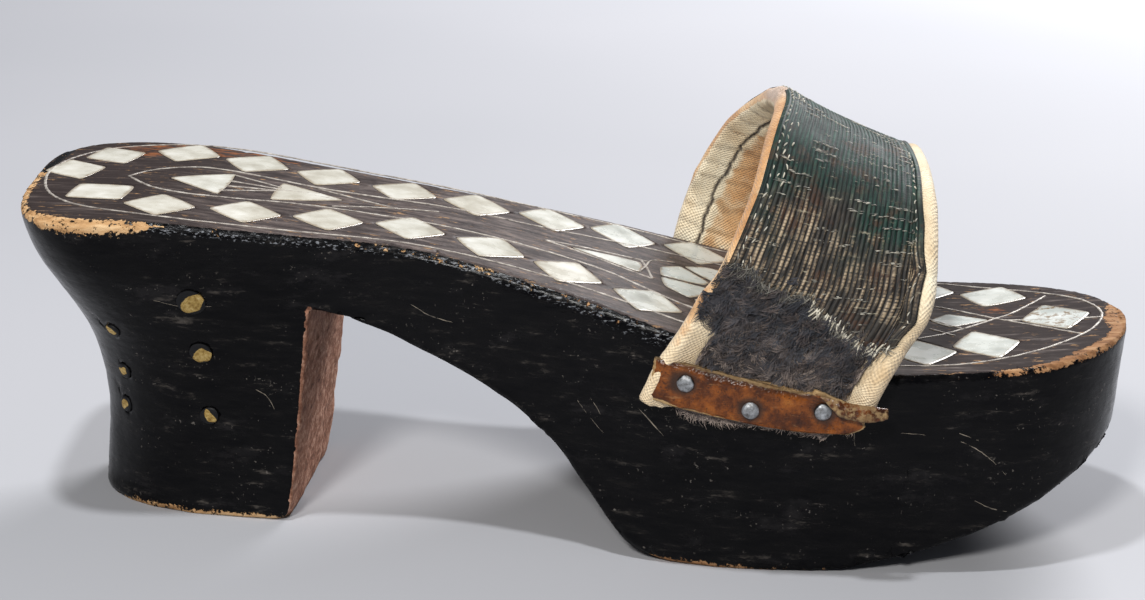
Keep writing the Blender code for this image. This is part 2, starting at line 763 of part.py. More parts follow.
def make_pins(finish, collection, cutters):
    """Brass pins in the heel's wall, and one cutter for their holes."""
    holes = bmesh.new()
    for number, (place, share, thick) in enumerate(PINS, 1):
        x = place * LENGTH
        here = near_wall(x, share)
        along = near_wall(x + SLOPE_STEP, share) - here
        out = along.cross(near_wall(x, share + SLOPE_STEP) - here).normalized()
        radius = PIN_RADIUS * thick
        profile = [(0, PIN_PROUD), (0.8 * radius, PIN_PROUD), (radius, 0), (radius, -PIN_LENGTH),
                   (0, -PIN_LENGTH)]
        turned_piece(f"pin_{number}", profile, here, out, collection, finish)
        drill(holes, here, out, radius + LAYER_GAP, PIN_LENGTH + LAYER_GAP, PIN_LENGTH)
    cutter = link("cut_pins", mesh_from(holes, "cut_pins"), cutters)
    hide_cutter(cutter)
    return cutter


def make_nails(side_name, side, finish, collection, cutters):
    """Three flat-headed nails on one side, and one cutter for their holes."""
    holes = bmesh.new()
    depth = TAB_HIGH + 2 * LAYER_GAP + NAIL_SHANK_IN_WOOD
    profile = [(0, NAIL_HEAD_HEIGHT), (0.7 * NAIL_HEAD_RADIUS, NAIL_HEAD_HEIGHT),
               (NAIL_HEAD_RADIUS, 0.5 * NAIL_HEAD_HEIGHT), (NAIL_HEAD_RADIUS, 0),
               (NAIL_SHANK_RADIUS, 0), (NAIL_SHANK_RADIUS, -depth), (0, -depth)]
    for number, (place, drop) in enumerate(NAILS, 1):
        x = place * LENGTH
        seat = tab_point(x, drop, TAB_HIGH + LAYER_GAP, side)
        out = wall_normal(x)
        out.y *= side
        turned_piece(f"nail_{side_name}_{number}", profile, seat, out, collection, finish)
        drill(holes, seat, out, NAIL_SHANK_RADIUS + LAYER_GAP, depth + LAYER_GAP, depth)
    cutter = link(f"cut_nails_{side_name}", mesh_from(holes, "cut_nails"), cutters)
    hide_cutter(cutter)
    return cutter


def main():
    for old in list(bpy.data.objects):
        bpy.data.objects.remove(old)
    clog = bpy.data.collections.new("inlaid_wooden_mule")
    cutters = bpy.data.collections.new("cutters")
    for collection in (clog, cutters):
        bpy.context.scene.collection.children.link(collection)

    black_wood = material("black_wood", (0.012, 0.012, 0.014), 0.35)
    pearl = material("pearl", (0.80, 0.79, 0.73), 0.25)
    felt = material("felt", (0.055, 0.052, 0.055), 0.95)
    canvas = material("canvas", (0.72, 0.58, 0.38), 0.90)
    ribbed_cloth = material("ribbed_cloth", (0.035, 0.050, 0.042), 0.60)
    leather = material("leather", (0.30, 0.13, 0.035), 0.45)
    steel = material("steel", (0.45, 0.46, 0.47), 0.40, 1.0)
    brass = material("brass", (0.60, 0.42, 0.16), 0.40, 1.0)

    sole = link("carved_sole", sole_blank(), clog, black_wood)
    for cutter in underside_cutters(cutters):
        apply_boolean(sole, cutter)
    apply_boolean(sole, make_pearls(clog, cutters, pearl))
    apply_boolean(sole, make_pins(brass, clog, cutters))

    lining = link("strap_lining", strap_sweep(lining_section, "strap_lining"), clog, canvas)
    padding = link("strap_felt", strap_sweep(felt_section, "strap_felt"), clog, felt)
    make_cover(ribbed_cloth, clog)

    for side_name, side in SIDES.items():
        tab = make_tab(f"leather_{side_name}", side, leather, clog)
        holes = make_nails(side_name, side, steel, clog, cutters)
        for piece in (sole, tab, lining, padding):
            apply_boolean(piece, holes)


main()
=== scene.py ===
"""Looks of the inlaid wooden mule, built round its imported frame.

Metres, +Z up. The toe points to +X and the photo's near side is -Y. Every piece is measured from
the frame's solids: the footbed's height and width, the inner face of the strap and the outline of
the cover and of the leather strips.
"""

import random
from math import cos, pi, radians, sin, sqrt

import bmesh
import bpy
import numpy as np
from mathutils import Matrix, Vector, noise
from mathutils.bvhtree import BVHTree
from mathutils.kdtree import KDTree


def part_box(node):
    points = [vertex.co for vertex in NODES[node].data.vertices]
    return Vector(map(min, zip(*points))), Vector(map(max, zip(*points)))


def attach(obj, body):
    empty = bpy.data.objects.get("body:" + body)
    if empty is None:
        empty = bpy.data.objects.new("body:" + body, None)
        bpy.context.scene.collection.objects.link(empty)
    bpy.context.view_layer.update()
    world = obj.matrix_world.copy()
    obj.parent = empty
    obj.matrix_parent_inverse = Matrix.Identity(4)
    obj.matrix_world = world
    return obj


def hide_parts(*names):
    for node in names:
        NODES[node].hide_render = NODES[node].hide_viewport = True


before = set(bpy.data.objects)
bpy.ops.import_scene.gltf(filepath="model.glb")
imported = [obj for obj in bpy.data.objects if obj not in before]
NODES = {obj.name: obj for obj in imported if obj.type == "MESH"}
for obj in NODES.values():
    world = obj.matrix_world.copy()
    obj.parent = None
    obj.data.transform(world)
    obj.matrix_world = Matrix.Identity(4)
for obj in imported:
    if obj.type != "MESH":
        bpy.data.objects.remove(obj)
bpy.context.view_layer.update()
MM = 0.001

# Camera, at the photo's angle
CAMERA_PLACE = Vector((0.0386, -0.5016, 0.1899))
CAMERA_YAW = 0.076        # radians, toward -X
CAMERA_PITCH = 0.281      # radians, downward
CAMERA_ROLL = 0.023
CAMERA_LENS = 76.02       # millimetres, on a sensor 36 mm wide

# Sole
PHOTO_START = 121.5       # mm from the origin back to where the photo's places along are counted from
RIM_CHECK = 2 * MM        # the wall is measured this far below the footbed
RIM_CLEAR = 3 * MM        # no plate comes closer to the near edge than this
NAIL_DODGES = (0, 1.5 * MM, -1.5 * MM, 3 * MM, -3 * MM, 4.5 * MM, -4.5 * MM)
WOOD_EDGES = (12 * MM, 6 * MM, 3 * MM, 1.7 * MM)
SHARP_ANGLE = radians(36)
RIM_REACH = 2.4 * MM      # the mesh is fine this far from the footbed's rim
RIM_EDGE = 0.9 * MM
RIM_ROUND = 1.0 * MM      # radius of the rubbed rim
RIM_EXTRA = 1.1 * MM      # added to it along the near side's waist
PIN_CLEAR = 1.2 * MM      # the wood isn't smoothed this close to a pin's hole
ARCH_PLACE = -45 * MM     # a place under the arch, in front of the heel

# Strap layers, above the strap's inner face
WALL_LIFT = 0.5 * MM
HEM_LIFT = 3.6 * MM
CLOTH_HALF = 0.38 * MM
FELT_LOW = 1.5 * MM
FELT_HIGH = 3.9 * MM
FELT_START = 1.0 * MM     # the felt ends this far above the lining's end
LOW_SHARE = 0.45          # how long hairs are beside the leather strip
LOCKS = 1300
FRINGE_LOCKS = 150        # below the strip
FRINGE_HAIRS = 16
FRAYED_THREADS = 460
CROSS_THREADS = 4200      # tries
COVER_LOW = 4.5 * MM
COVER_HIGH = 5.25 * MM
HEM_WIDTH = 8.8 * MM
SPLIT_END = 11.5 * MM     # the lining's mesh is finer from its rear edge to here
COVER_INSET = (1.3 * MM, 1.5 * MM)     # from the strap's rear edge and from its front edge
RIBS = 38
RIB_DEPTH = 0.34 * MM
METAL_PITCH = 0.62 * MM   # between the metal threads that cross the ribs
WEAVE_PITCH = 0.85 * MM   # of the canvas
WEAVE_SWAY = 0.8 * MM
PICK_PITCH = 2.3 * MM     # between rows of cross threads
KNOT_PLACE = 0.545        # along the strap, as a share of its length
TAB_TRIM = 3.2 * MM       # the lining ends higher under the strip's front half
TAB_LOW = 4.5 * MM
TAB_HIGH = 6.0 * MM
CURL_START = 0.72         # along the strip's upper edge, as a share
CURL_REACH = 3.6 * MM     # the strip's front end stops this far behind the curl's
CURL_SINK = -0.6          # mm, how far the curl sinks toward its front end
# The curl in section: mm below the strip's upper edge and above its surface
CURL_SHAPE = ((1.2, -0.2), (0.3, 0.1), (-0.4, 0.4), (-0.7, 0.9), (-0.5, 1.4), (0.1, 1.75), (0.9, 1.9),
              (1.9, 1.9))
TAB_PULL = 1.3 * MM       # the strip's rear end leaves the lining's ragged end bare
TAB_TOP_PLACE = 11 * MM   # along the strap, the strip's upper edge
WALL_STEP = 1.5 * MM      # over which the wall's slope is measured
WALL_GAP = 0.3 * MM       # between the wall and the strap's inner face


def make_camera():
    forward = Vector((-sin(CAMERA_YAW) * cos(CAMERA_PITCH), cos(CAMERA_YAW) * cos(CAMERA_PITCH),
                      -sin(CAMERA_PITCH)))
    level = Vector((cos(CAMERA_YAW), sin(CAMERA_YAW), 0))
    upright = level.cross(forward)
    right = cos(CAMERA_ROLL) * level + sin(CAMERA_ROLL) * upright
    up = -sin(CAMERA_ROLL) * level + cos(CAMERA_ROLL) * upright
    data = bpy.data.cameras.new("camera")
    data.lens = CAMERA_LENS
    data.clip_start = 0.01
    camera = bpy.data.objects.new("camera", data)
    turn = Matrix((right, up, -forward)).transposed()
    camera.matrix_world = Matrix.Translation(CAMERA_PLACE) @ turn.to_4x4()
    bpy.context.scene.collection.objects.link(camera)
    bpy.context.scene.camera = camera


# Node graphs


class Value:
    """A number, vector or colour that a material's nodes work out."""

    def __init__(self, paint, socket):
        self.paint, self.socket = paint, socket

    def __add__(self, other):
        return self.paint.math("ADD", self, other)

    def __sub__(self, other):
        return self.paint.math("SUBTRACT", self, other)

    def __mul__(self, other):
        return self.paint.math("MULTIPLY", self, other)

    def step(self, low, high):
        """0 below low and 1 above high, smooth between. With low above high it falls."""
        ends = {"From_Min": min(low, high), "From_Max": max(low, high)}
        node = self.paint.add("MapRange", {"interpolation_type": "SMOOTHSTEP"}, Value=self, **ends)
        risen = Value(self.paint, node.outputs[0])
        return risen if low < high else self.paint.math("SUBTRACT", 1.0, risen)

    def ramp(self, *stops):
        """A colour ramp. Each stop is (place, colour) or (place, grey)."""
        node = self.paint.add("ValToRGB", None, Fac=self)
        elements = node.color_ramp.elements
        while len(elements) < len(stops):
            elements.new(0.5)
        for element, (place, color) in zip(elements, stops):
            element.position = place
            element.color = (*np.broadcast_to(color, 3), 1)
        return Value(self.paint, node.outputs[0])

    def mix(self, share, other):
        """This colour with a share of another."""
        return self.paint.between(share, self, other, "RGBA")


class Paint:
    """A material and its node graph, built by short calls."""

    def __init__(self, name, stretch=(1, 1, 1)):
        self.material = bpy.data.materials.new(name)
        self.material.use_nodes = True
        self.tree = self.material.node_tree
        self.shader = self.tree.nodes["Principled BSDF"]
        self.raw = Value(self, self.add("TexCoord").outputs["Object"])
        self.at = self.scaled(self.raw, stretch)

    def feed(self, socket, value):
        if isinstance(value, Value):
            self.tree.links.new(value.socket, socket)
        elif socket.type == "RGBA":
            socket.default_value = (*value, 1)
        else:
            socket.default_value = value

    def add(self, kind, settings=None, **inputs):
        node = self.tree.nodes.new("ShaderNode" + kind)
        for key, value in (settings or {}).items():
            setattr(node, key, value)
        for key, value in inputs.items():
            self.feed(node.inputs[key.replace("_", " ")], value)
        return node

    def math(self, operation, *terms, kind="Math"):
        node = self.add(kind, {"operation": operation})
        for socket, term in zip(node.inputs, terms):
            self.feed(socket, term)
        return Value(self, node.outputs[0])

    def between(self, share, a, b, kind="FLOAT"):
        """A number or a colour between a and b."""
        node = self.add("Mix", {"data_type": kind})
        sockets, output = ((0, 2, 3), 0) if kind == "FLOAT" else ((0, 6, 7), 2)
        for socket, value in zip(sockets, (share, a, b)):
            self.feed(node.inputs[socket], value)
        return Value(self, node.outputs[output])

    def scaled(self, vector, stretch):
        node = self.add("Mapping", {"vector_type": "POINT"}, Vector=vector, Scale=stretch)
        return Value(self, node.outputs[0])

    def read(self, name, output="Fac"):
        """A value that the mesh's points hold."""
        return Value(self, self.add("Attribute", {"attribute_name": name}).outputs[output])

    def noise(self, scale, detail=3, roughness=0.6, at=None):
        """Noise over the piece. A scale of three numbers stretches it along the axes."""
        if isinstance(scale, tuple):
            at, scale = self.scaled(at or self.raw, scale), 1
        looks = {"Scale": scale, "Detail": detail, "Roughness": roughness}
        node = self.add("TexNoise", None, Vector=at or self.at, **looks)
        return Value(self, node.outputs["Fac"])

    def waves(self, vector, axis, pitch):
        """A sine along one axis of a vector, once every pitch."""
        part = Value(self, self.add("SeparateXYZ", None, Vector=vector).outputs[axis])
        return self.math("SINE", part * (2 * pi / pitch))

    def relief(self, *layers):
        """Bumps on bumps. Each layer is (height, distance in mm, strength)."""
        normal = None
        for height, distance, strength in layers:
            node = self.add("Bump", None, Height=height, Distance=distance * MM, Strength=strength)
            if normal:
                self.feed(node.inputs["Normal"], normal)
            normal = Value(self, node.outputs[0])
        return normal

    def finish(self, color, roughness, normal=None, metallic=0.0, **fixed):
        looks = {"Base Color": color, "Roughness": roughness, "Metallic": metallic}
        if normal:
            looks["Normal"] = normal
        for key, value in looks.items():
            self.feed(self.shader.inputs[key], value)
        for key, value in fixed.items():
            self.shader.inputs[key.replace("_", " ")].default_value = value
        return self.material


def wood_finish():
    """Black paint on the walls, dark waxed wood on the footbed, bare wood where it is worn, and painted
    highlight flecks along the near rim.
    """
    paint = Paint("carved_wood")
    cloud = paint.noise(90, 4)
    grain = paint.noise((55, 620, 620), 6, 0.68)
    fine = paint.noise((140, 3200, 3200))
    tan_flecks = paint.noise((230, 800, 800), 4, 0.7)
    top = grain.ramp((0.30, (0.020, 0.014, 0.014)), (0.48, (0.062, 0.047, 0.044)),
                     (0.62, (0.135, 0.106, 0.096)), (0.78, (0.235, 0.190, 0.168)))
    top = top.mix(fine.step(0.58, 0.68) * 0.45, (0.23, 0.20, 0.185))
    top = top.mix(cloud.step(0.50, 0.70) * 0.6, (0.022, 0.015, 0.014))
    # The footbed is darker and duller toward its heel and toe ends.
    darker_ends = paint.read("darker_ends") * grain.step(0.80, 0.52)
    top = top.mix(darker_ends * 0.84, (0.020, 0.013, 0.012))
    top = top.mix(tan_flecks.step(0.60, 0.67) * cloud.step(0.62, 0.46) * 0.85, (0.42, 0.24, 0.11))
    stain = paint.read("stain") + tan_flecks * 2
    top = top.mix(stain.step(1.88, 2.25) * 0.8, (0.26, 0.085, 0.026))

    brushed = paint.noise((120, 120, 560), 6, 0.70)
    smears = paint.noise((70, 70, 200), 5, 0.75)
    specks = paint.noise(1300, 2, 0.5)
    black = brushed.ramp((0.35, (0.0008, 0.0008, 0.0014)), (0.60, (0.0032, 0.0030, 0.0034)),
                         (0.80, (0.014, 0.012, 0.011)))
    black = black.mix(smears.step(0.50, 0.68) * cloud.step(0.44, 0.60) * 0.45, (0.022, 0.020, 0.021))
    black = black.mix(brushed.step(0.57, 0.70) * smears.step(0.46, 0.60) * 0.55, (0.105, 0.092, 0.080))
    black = black.mix(specks.step(0.66, 0.73) * smears.step(0.48, 0.62) * 0.5, (0.20, 0.18, 0.16))
    # Painted highlight: pale blue-grey flecks on the near wall just below the rim stand in for the gloss of
    # the rubbed paint.
    painted_highlight_flecks = paint.noise((900, 900, 2200), 4, 0.7).step(0.55, 0.64)
    black = black.mix(painted_highlight_flecks * paint.read("painted_highlight").step(0.1, 0.7) * 0.8, (0.23, 0.24, 0.26))

    bare_grain = paint.noise((90, 480, 480), 5, 0.7)
    rusty = bare_grain.ramp((0.30, (0.10, 0.040, 0.016)), (0.50, (0.33, 0.165, 0.075)),
                            (0.72, (0.56, 0.35, 0.19)))
    sandy = bare_grain.ramp((0.30, (0.22, 0.105, 0.042)), (0.50, (0.56, 0.33, 0.155)),
                            (0.72, (0.80, 0.58, 0.34)))
    bare = rusty.mix(paint.read("heelward"), sandy)
    chopped = paint.noise((500, 320, 500), 6, 0.75)
    flesh = chopped.ramp((0.30, (0.080, 0.032, 0.023)), (0.50, (0.36, 0.170, 0.108)),
                         (0.70, (0.72, 0.46, 0.34)))

    ragged = (paint.noise(420, 5, 0.7) - 0.5) * 1.1 + (paint.noise(1500) - 0.5) * 0.7
    footbed = (paint.read("footbed") + ragged).step(0.42, 0.52)
    worn = (paint.read("worn") + ragged).step(0.46, 0.55)
    breast = (paint.read("breast") + ragged * 0.5).step(0.42, 0.55)
    color = black.mix(footbed, top).mix(worn * 0.95, bare).mix(breast, flesh)
    dull = paint.math("MAXIMUM", paint.math("MAXIMUM", worn, breast), darker_ends * footbed)
    gloss = paint.between(footbed, brushed.ramp((0.3, 0.16), (0.7, 0.32)),
                          grain.ramp((0.3, 0.38), (0.7, 0.58)))
    relief = paint.relief((paint.noise((420, 420, 760), 3, 0.5), 0.12, 0.8),
                          (paint.between(footbed, brushed, grain), 0.10, 0.6),
                          (worn * -1, 0.30, 0.9), (chopped * breast, 0.8, 0.8))
    return paint.finish(color, paint.between(dull, gloss, 0.8), relief, Specular_IOR_Level=0.11)


def pearl_finish():
    """Shell plates: clouded cream to bluish white, stained at their edges."""
    paint = Paint("pearl_shell", (1, 1, 3))
    cloud = paint.noise(130, 4, 0.55)
    veins = paint.noise((300, 900, 300), 4)
    warm = cloud.ramp((0.30, (0.50, 0.46, 0.37)), (0.50, (0.66, 0.63, 0.54)), (0.70, (0.79, 0.77, 0.70)))
    cool = cloud.ramp((0.30, (0.39, 0.44, 0.43)), (0.50, (0.54, 0.59, 0.57)), (0.72, (0.69, 0.72, 0.70)))
    color = warm.mix(paint.read("cool"), cool).mix(veins.step(0.45, 0.80) * 0.35, (0.58, 0.53, 0.43))
    soiled = paint.read("border") + (paint.noise(500, 4, 0.7) - 0.5) * 1.1
    color = color.mix(soiled.step(0.62, 1.05) * 0.75, (0.30, 0.23, 0.15))
    spots = paint.noise(520, 5, 0.7).step(0.50, 0.62) * paint.read("spotted")
    return paint.finish(color.mix(spots, (0.20, 0.13, 0.06)), cloud.ramp((0.3, 0.20), (0.7, 0.36)),
                        paint.relief((veins, 0.08, 0.35)), Coat_Weight=0.15, Coat_Roughness=0.2)


def wire_finish():
    """Dull tin wire, laid into the wood."""
    paint = Paint("tin_wire")
    tarnish = paint.noise(600, 4)
    color = tarnish.ramp((0.30, (0.12, 0.10, 0.088)), (0.50, (0.36, 0.32, 0.28)), (0.70, (0.58, 0.54, 0.48)))
    return paint.finish(color, 0.55, paint.relief((tarnish, 0.08, 0.5)), metallic=0.25)


def scratch_finish():
    """Raw wood at the bottom of the scratches."""
    paint = Paint("scratched_wood")
    shade = paint.noise(500, 4)
    color = shade.ramp((0.35, (0.045, 0.038, 0.032)), (0.65, (0.26, 0.22, 0.17)))
    return paint.finish(color, 0.8, paint.relief((shade, 0.1, 0.5)))


def canvas_finish():
    """Cream canvas of a plain weave, browned by wear near the strap's rear edge."""
    paint = Paint("cream_canvas")
    waver = Value(paint, paint.add("TexNoise", None, Vector=paint.at, Scale=300).outputs["Color"])
    cloth = paint.read("cloth", "Vector")
    bent = paint.math("MULTIPLY_ADD", waver, (WEAVE_SWAY,) * 3, cloth, kind="VectorMath")
    weave = paint.waves(bent, 0, WEAVE_PITCH) * paint.waves(bent, 1, WEAVE_PITCH) * 0.5 + 0.5
    cloud = paint.noise(70, 5, 0.62)
    fine = paint.noise(900, 4, 0.7)
    cream = cloud.ramp((0.30, (0.64, 0.46, 0.26)), (0.50, (0.86, 0.70, 0.47)), (0.70, (0.95, 0.85, 0.64)))
    tan = cloud.ramp((0.30, (0.36, 0.150, 0.050)), (0.52, (0.70, 0.38, 0.16)), (0.72, (0.88, 0.65, 0.38)))
    browned = paint.read("browned") + (paint.noise(190, 4, 0.65) - 0.5) * 1.6
    color = cream.mix(browned.step(0.30, 0.85), tan)
    color = color.mix(paint.read("greyed") * 0.7, (0.56, 0.46, 0.41))
    color = color.mix(weave.step(0.30, 0.02) * cloud.step(0.66, 0.40) * 0.26, (0.26, 0.155, 0.08))
    color = color.mix(fine.step(0.56, 0.70) * 0.40, (0.30, 0.20, 0.11))
    color = color.mix(paint.read("crack") * 0.95, (0.030, 0.018, 0.012))
    relief = paint.relief((weave, 0.28, 0.8), (fine, 0.20, 0.7))
    return paint.finish(color, 0.92, relief, Sheen_Weight=0.2, Sheen_Roughness=0.6)


def felt_finish(name):
    """Dark felt. The tone that its points hold runs from blue-grey to brown-grey, and past 0.85, on the
    hairs' tips, to a pale painted highlight.
    """
    paint = Paint(name)
    cloud = paint.noise(260, 4, 0.65)
    cold = cloud.ramp((0.30, (0.012, 0.013, 0.017)), (0.55, (0.036, 0.038, 0.047)),
                      (0.75, (0.090, 0.090, 0.102)))
    brown = cloud.ramp((0.30, (0.040, 0.029, 0.026)), (0.55, (0.115, 0.088, 0.078)),
                       (0.75, (0.290, 0.235, 0.205)))
    # Here worn is the tone that the points hold; past 0.85, on the hairs' tips, its pale colour is a painted
    # highlight.
    worn = paint.read("tone")
    color = cold.mix(worn, brown).mix(worn.step(0.85, 1.5), (0.36, 0.29, 0.245))
    relief = paint.relief((paint.noise(1400, 3, 0.7), 0.3, 0.8))
    return paint.finish(color, 0.95, relief, Sheen_Weight=0.2, Sheen_Roughness=0.5)


def cover_finish():
    """Ribbed cloth, green-black, with metal threads that show where it is rubbed, and painted shade in the
    hollows between the ribs.
    """
    paint = Paint("ribbed_cloth")
    cloth = paint.read("cloth", "Vector")
    streaks = paint.noise((900, 160, 1), 4, 0.65, cloth)
    bars = paint.noise((150, 1500, 1), 3, 0.6, cloth)
    cloud = paint.noise(75, 4)
    patch = paint.noise(210, 4, 0.7)
    crest = paint.read("crest")
    green = streaks.ramp((0.30, (0.0020, 0.0075, 0.0060)), (0.52, (0.0075, 0.030, 0.022)),
                         (0.74, (0.030, 0.085, 0.060)))
    black = streaks.ramp((0.30, (0.0045, 0.0045, 0.0045)), (0.52, (0.030, 0.025, 0.020)),
                         (0.74, (0.140, 0.108, 0.078)))
    lowered = paint.read("lowered") + (cloud - 0.5) * 1.6
    color = green.mix(lowered.step(0.25, 0.80), black)
    color = color.mix(paint.noise(170, 4, 0.7).step(0.52, 0.64) * 0.65, (0.060, 0.026, 0.013))
    # Painted shade: near black in the hollows between the ribs.
    color = color.mix(crest.step(0.55, 0.10), (0.0030, 0.0032, 0.0034))
    picks = (paint.waves(cloth, 1, METAL_PITCH) + bars * 5).step(1.1, 2.6)
    rubbed = (paint.read("rubbed") + (patch - 0.5) * 2.4).step(0.35, 0.95)
    metal = rubbed * picks * (crest.step(0.45, 0.90) * streaks.step(0.38, 0.62))
    color = color.mix(metal * 0.8, streaks.ramp((0.35, (0.18, 0.108, 0.048)), (0.65, (0.52, 0.40, 0.26))))
    color = color.mix(bars.step(0.62, 0.69) * patch.step(0.42, 0.56) * 0.7, (0.40, 0.36, 0.26))
    relief = paint.relief((bars, 0.20, 0.7), (paint.noise(1200), 0.08, 0.5))
    return paint.finish(color, paint.between(metal, 0.60, 0.42), relief, Specular_IOR_Level=0.3)


def thread_finish():
    """Threads, from dark to cream by the paleness that their points hold."""
    paint = Paint("threads")
    shade = paint.noise(700)
    pale = shade.ramp((0.3, (0.50, 0.44, 0.32)), (0.7, (0.86, 0.82, 0.70)))
    dark = shade.ramp((0.3, (0.012, 0.015, 0.016)), (0.7, (0.075, 0.070, 0.060)))
    relief = paint.relief((paint.noise(3000, 2, 0.5), 0.1, 0.5))
    return paint.finish(dark.mix(paint.read("pale"), pale), 0.7, relief, Sheen_Weight=0.2)


def leather_finish():
    """Worn brown leather, glossy in the middle, pale and rough at its cut edges."""
    paint = Paint("brown_leather")
    cloud = paint.noise(170, 5, 0.7)
    pores = Value(paint, paint.add("TexVoronoi", None, Vector=paint.at, Scale=1700).outputs["Distance"])
    brown = cloud.ramp((0.30, (0.020, 0.005, 0.002)), (0.44, (0.085, 0.022, 0.004)),
                       (0.56, (0.210, 0.058, 0.008)), (0.76, (0.400, 0.140, 0.022)))
    brown = brown.mix(paint.noise(1600, 3, 0.7).step(0.56, 0.66) * 0.65, (0.020, 0.009, 0.005))
    brown = brown.mix(paint.noise((240, 240, 1500), 4, 0.7).step(0.60, 0.70) * 0.3, (0.42, 0.22, 0.09))
    raw = paint.noise(500, 4, 0.7).ramp((0.30, (0.22, 0.120, 0.045)), (0.70, (0.54, 0.37, 0.18)))
    edge = (paint.read("border") + (paint.noise(650, 4, 0.7) - 0.5) * 1.2).step(0.54, 0.74)
    color = brown.mix(edge, raw).mix(paint.read("stained") * 0.85, (0.026, 0.014, 0.009))
    relief = paint.relief((pores, 0.14, 0.5), (cloud, 0.9, 0.6))
    return paint.finish(color, paint.between(edge, 0.24, 0.85), relief,
                        Coat_Weight=0.12, Coat_Roughness=0.12, Specular_IOR_Level=0.25)


def metal_finish(name, dark, middle, light, roughness):
    """Weathered metal with dull spots. Paint covers it where its points hold more than 1."""
    paint = Paint(name)
    spots = paint.noise(1100, 5, 0.7)
    painted = (paint.read("painted") + (spots - 0.5) * 0.6).step(0.94, 1.04)
    color = spots.ramp((0.30, dark), (0.50, middle), (0.72, light)).mix(painted, (0.006, 0.006, 0.007))
    rough = spots.ramp((0.3, roughness + 0.2), (0.7, roughness))
    relief = paint.relief((spots, 0.12, 0.7))
    return paint.finish(color, rough, relief, paint.between(painted, 0.85, 0.0), Specular_IOR_Level=0.2)


def floor_finish():
    paint = Paint("pale_floor")
    color = paint.noise(3, 2, 0.5).ramp((0.3, (0.430, 0.435, 0.460)), (0.7, (0.465, 0.465, 0.490)))
    return paint.finish(color, 0.75)


# Meshes


def settle(made, material, replaced=()):
    """Links a piece, gives it its finish and lets it ride on the one body."""
    bpy.context.scene.collection.objects.link(made)
    made.data.materials.append(material)
    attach(made, "root")
    if replaced:
        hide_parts(*replaced)
    return made


def write_values(mesh, values):
    """Point attributes: one number a point, or three."""
    for name, numbers in values.items():
        numbers = np.asarray(numbers, np.float32)
        kind = "FLOAT_VECTOR" if numbers.ndim == 2 else "FLOAT"
        layer = mesh.attributes.new(name, kind, "POINT")
        layer.data.foreach_set("vector" if numbers.ndim == 2 else "value", numbers.ravel())


def mesh_object(name, points, faces, values):
    mesh = bpy.data.meshes.new(name)
    mesh.from_pydata([tuple(p) for p in points], [], faces)
    write_values(mesh, values)
    mesh.shade_smooth()
    mesh.update()
    return bpy.data.objects.new(name, mesh)


def grid_faces(rows, columns, start=0, flip=False):
    corners = [start + i * columns + j for i in range(rows - 1) for j in range(columns - 1)]
    faces = [(a, a + 1, a + columns + 1, a + columns) for a in corners]
    return [face[::-1] for face in faces] if flip else faces


def ring_faces(rings, sides):
    """Quads between closed rings of points."""
    return [(a + k, a + (k + 1) % sides, a + sides + (k + 1) % sides, a + sides + k)
            for a in range(0, (rings - 1) * sides, sides) for k in range(sides)]


def capped_faces(rings, sides):
    last = rings * sides - 1
    return ring_faces(rings, sides) + [tuple(range(sides)), tuple(range(last, last - sides, -1))]


def border_of(rows, columns):
    """Indices round the edge of a grid, in order."""
    down = [i * columns for i in range(rows)]
    right = [(rows - 1) * columns + j for j in range(1, columns)]
    up = [i * columns + columns - 1 for i in range(rows - 2, -1, -1)]
    left = list(range(columns - 2, 0, -1))
    return down + right + up + left


def shell_object(name, upper, lower, values):
    """A closed thin solid between two grids of points with the same shape."""
    rows, columns = upper.shape[:2]
    count = rows * columns
    points = np.concatenate([upper.reshape(-1, 3), lower.reshape(-1, 3)])
    faces = grid_faces(rows, columns) + grid_faces(rows, columns, count, flip=True)
    ring = border_of(rows, columns)
    for a, b in zip(ring, ring[1:] + ring[:1]):
        faces.append((a, b, b + count, a + count))
    doubled = {key: np.tile(v.reshape(count, -1), (2, 1)).squeeze() for key, v in values.items()}
    made = mesh_object(name, points, faces, doubled)
    outward(made.data)
    return made


def outward(mesh):
    bm = bmesh.new()
    bm.from_mesh(mesh)
    bmesh.ops.recalc_face_normals(bm, faces=bm.faces)
    bm.to_mesh(mesh)
    bm.free()


def hum(x, y=0, z=0):
    """Smooth noise from -1 to 1 at one place."""
    return noise.noise(Vector((x, y, z)))


def wobble(points, size, seed):
    """Smooth noise from -1 to 1 at each point, with waves about as long as size."""
    points = np.asarray(points)
    shift = Vector((seed * 3.1, seed * 5.7, seed * 7.3))
    found = [noise.noise(Vector(p) + shift) for p in points.reshape(-1, 3) / size]
    return np.reshape(found, points.shape[:-1])


def rough(points, *layers):
    """Layers of noise added up. Each is (strength, size in mm, seed)."""
    return sum(strength * wobble(points, size * MM, seed) for strength, size, seed in layers)


def soft_step(value, low, high):
    share = np.clip((value - low) / (high - low), 0, 1)
    return share * share * (3 - 2 * share)


# Measures of the frame


def solid_tree(node):
    mesh = NODES[node].data
    faces = [tuple(p.vertices) for p in mesh.polygons]
    return BVHTree.FromPolygons([v.co.copy() for v in mesh.vertices], faces)


def cast(tree, start, direction):
    return tree.ray_cast(Vector(start), Vector(direction))[0]


SOLE_TREE = solid_tree("carved_sole")
SOLE_LOW, SOLE_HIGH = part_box("carved_sole")


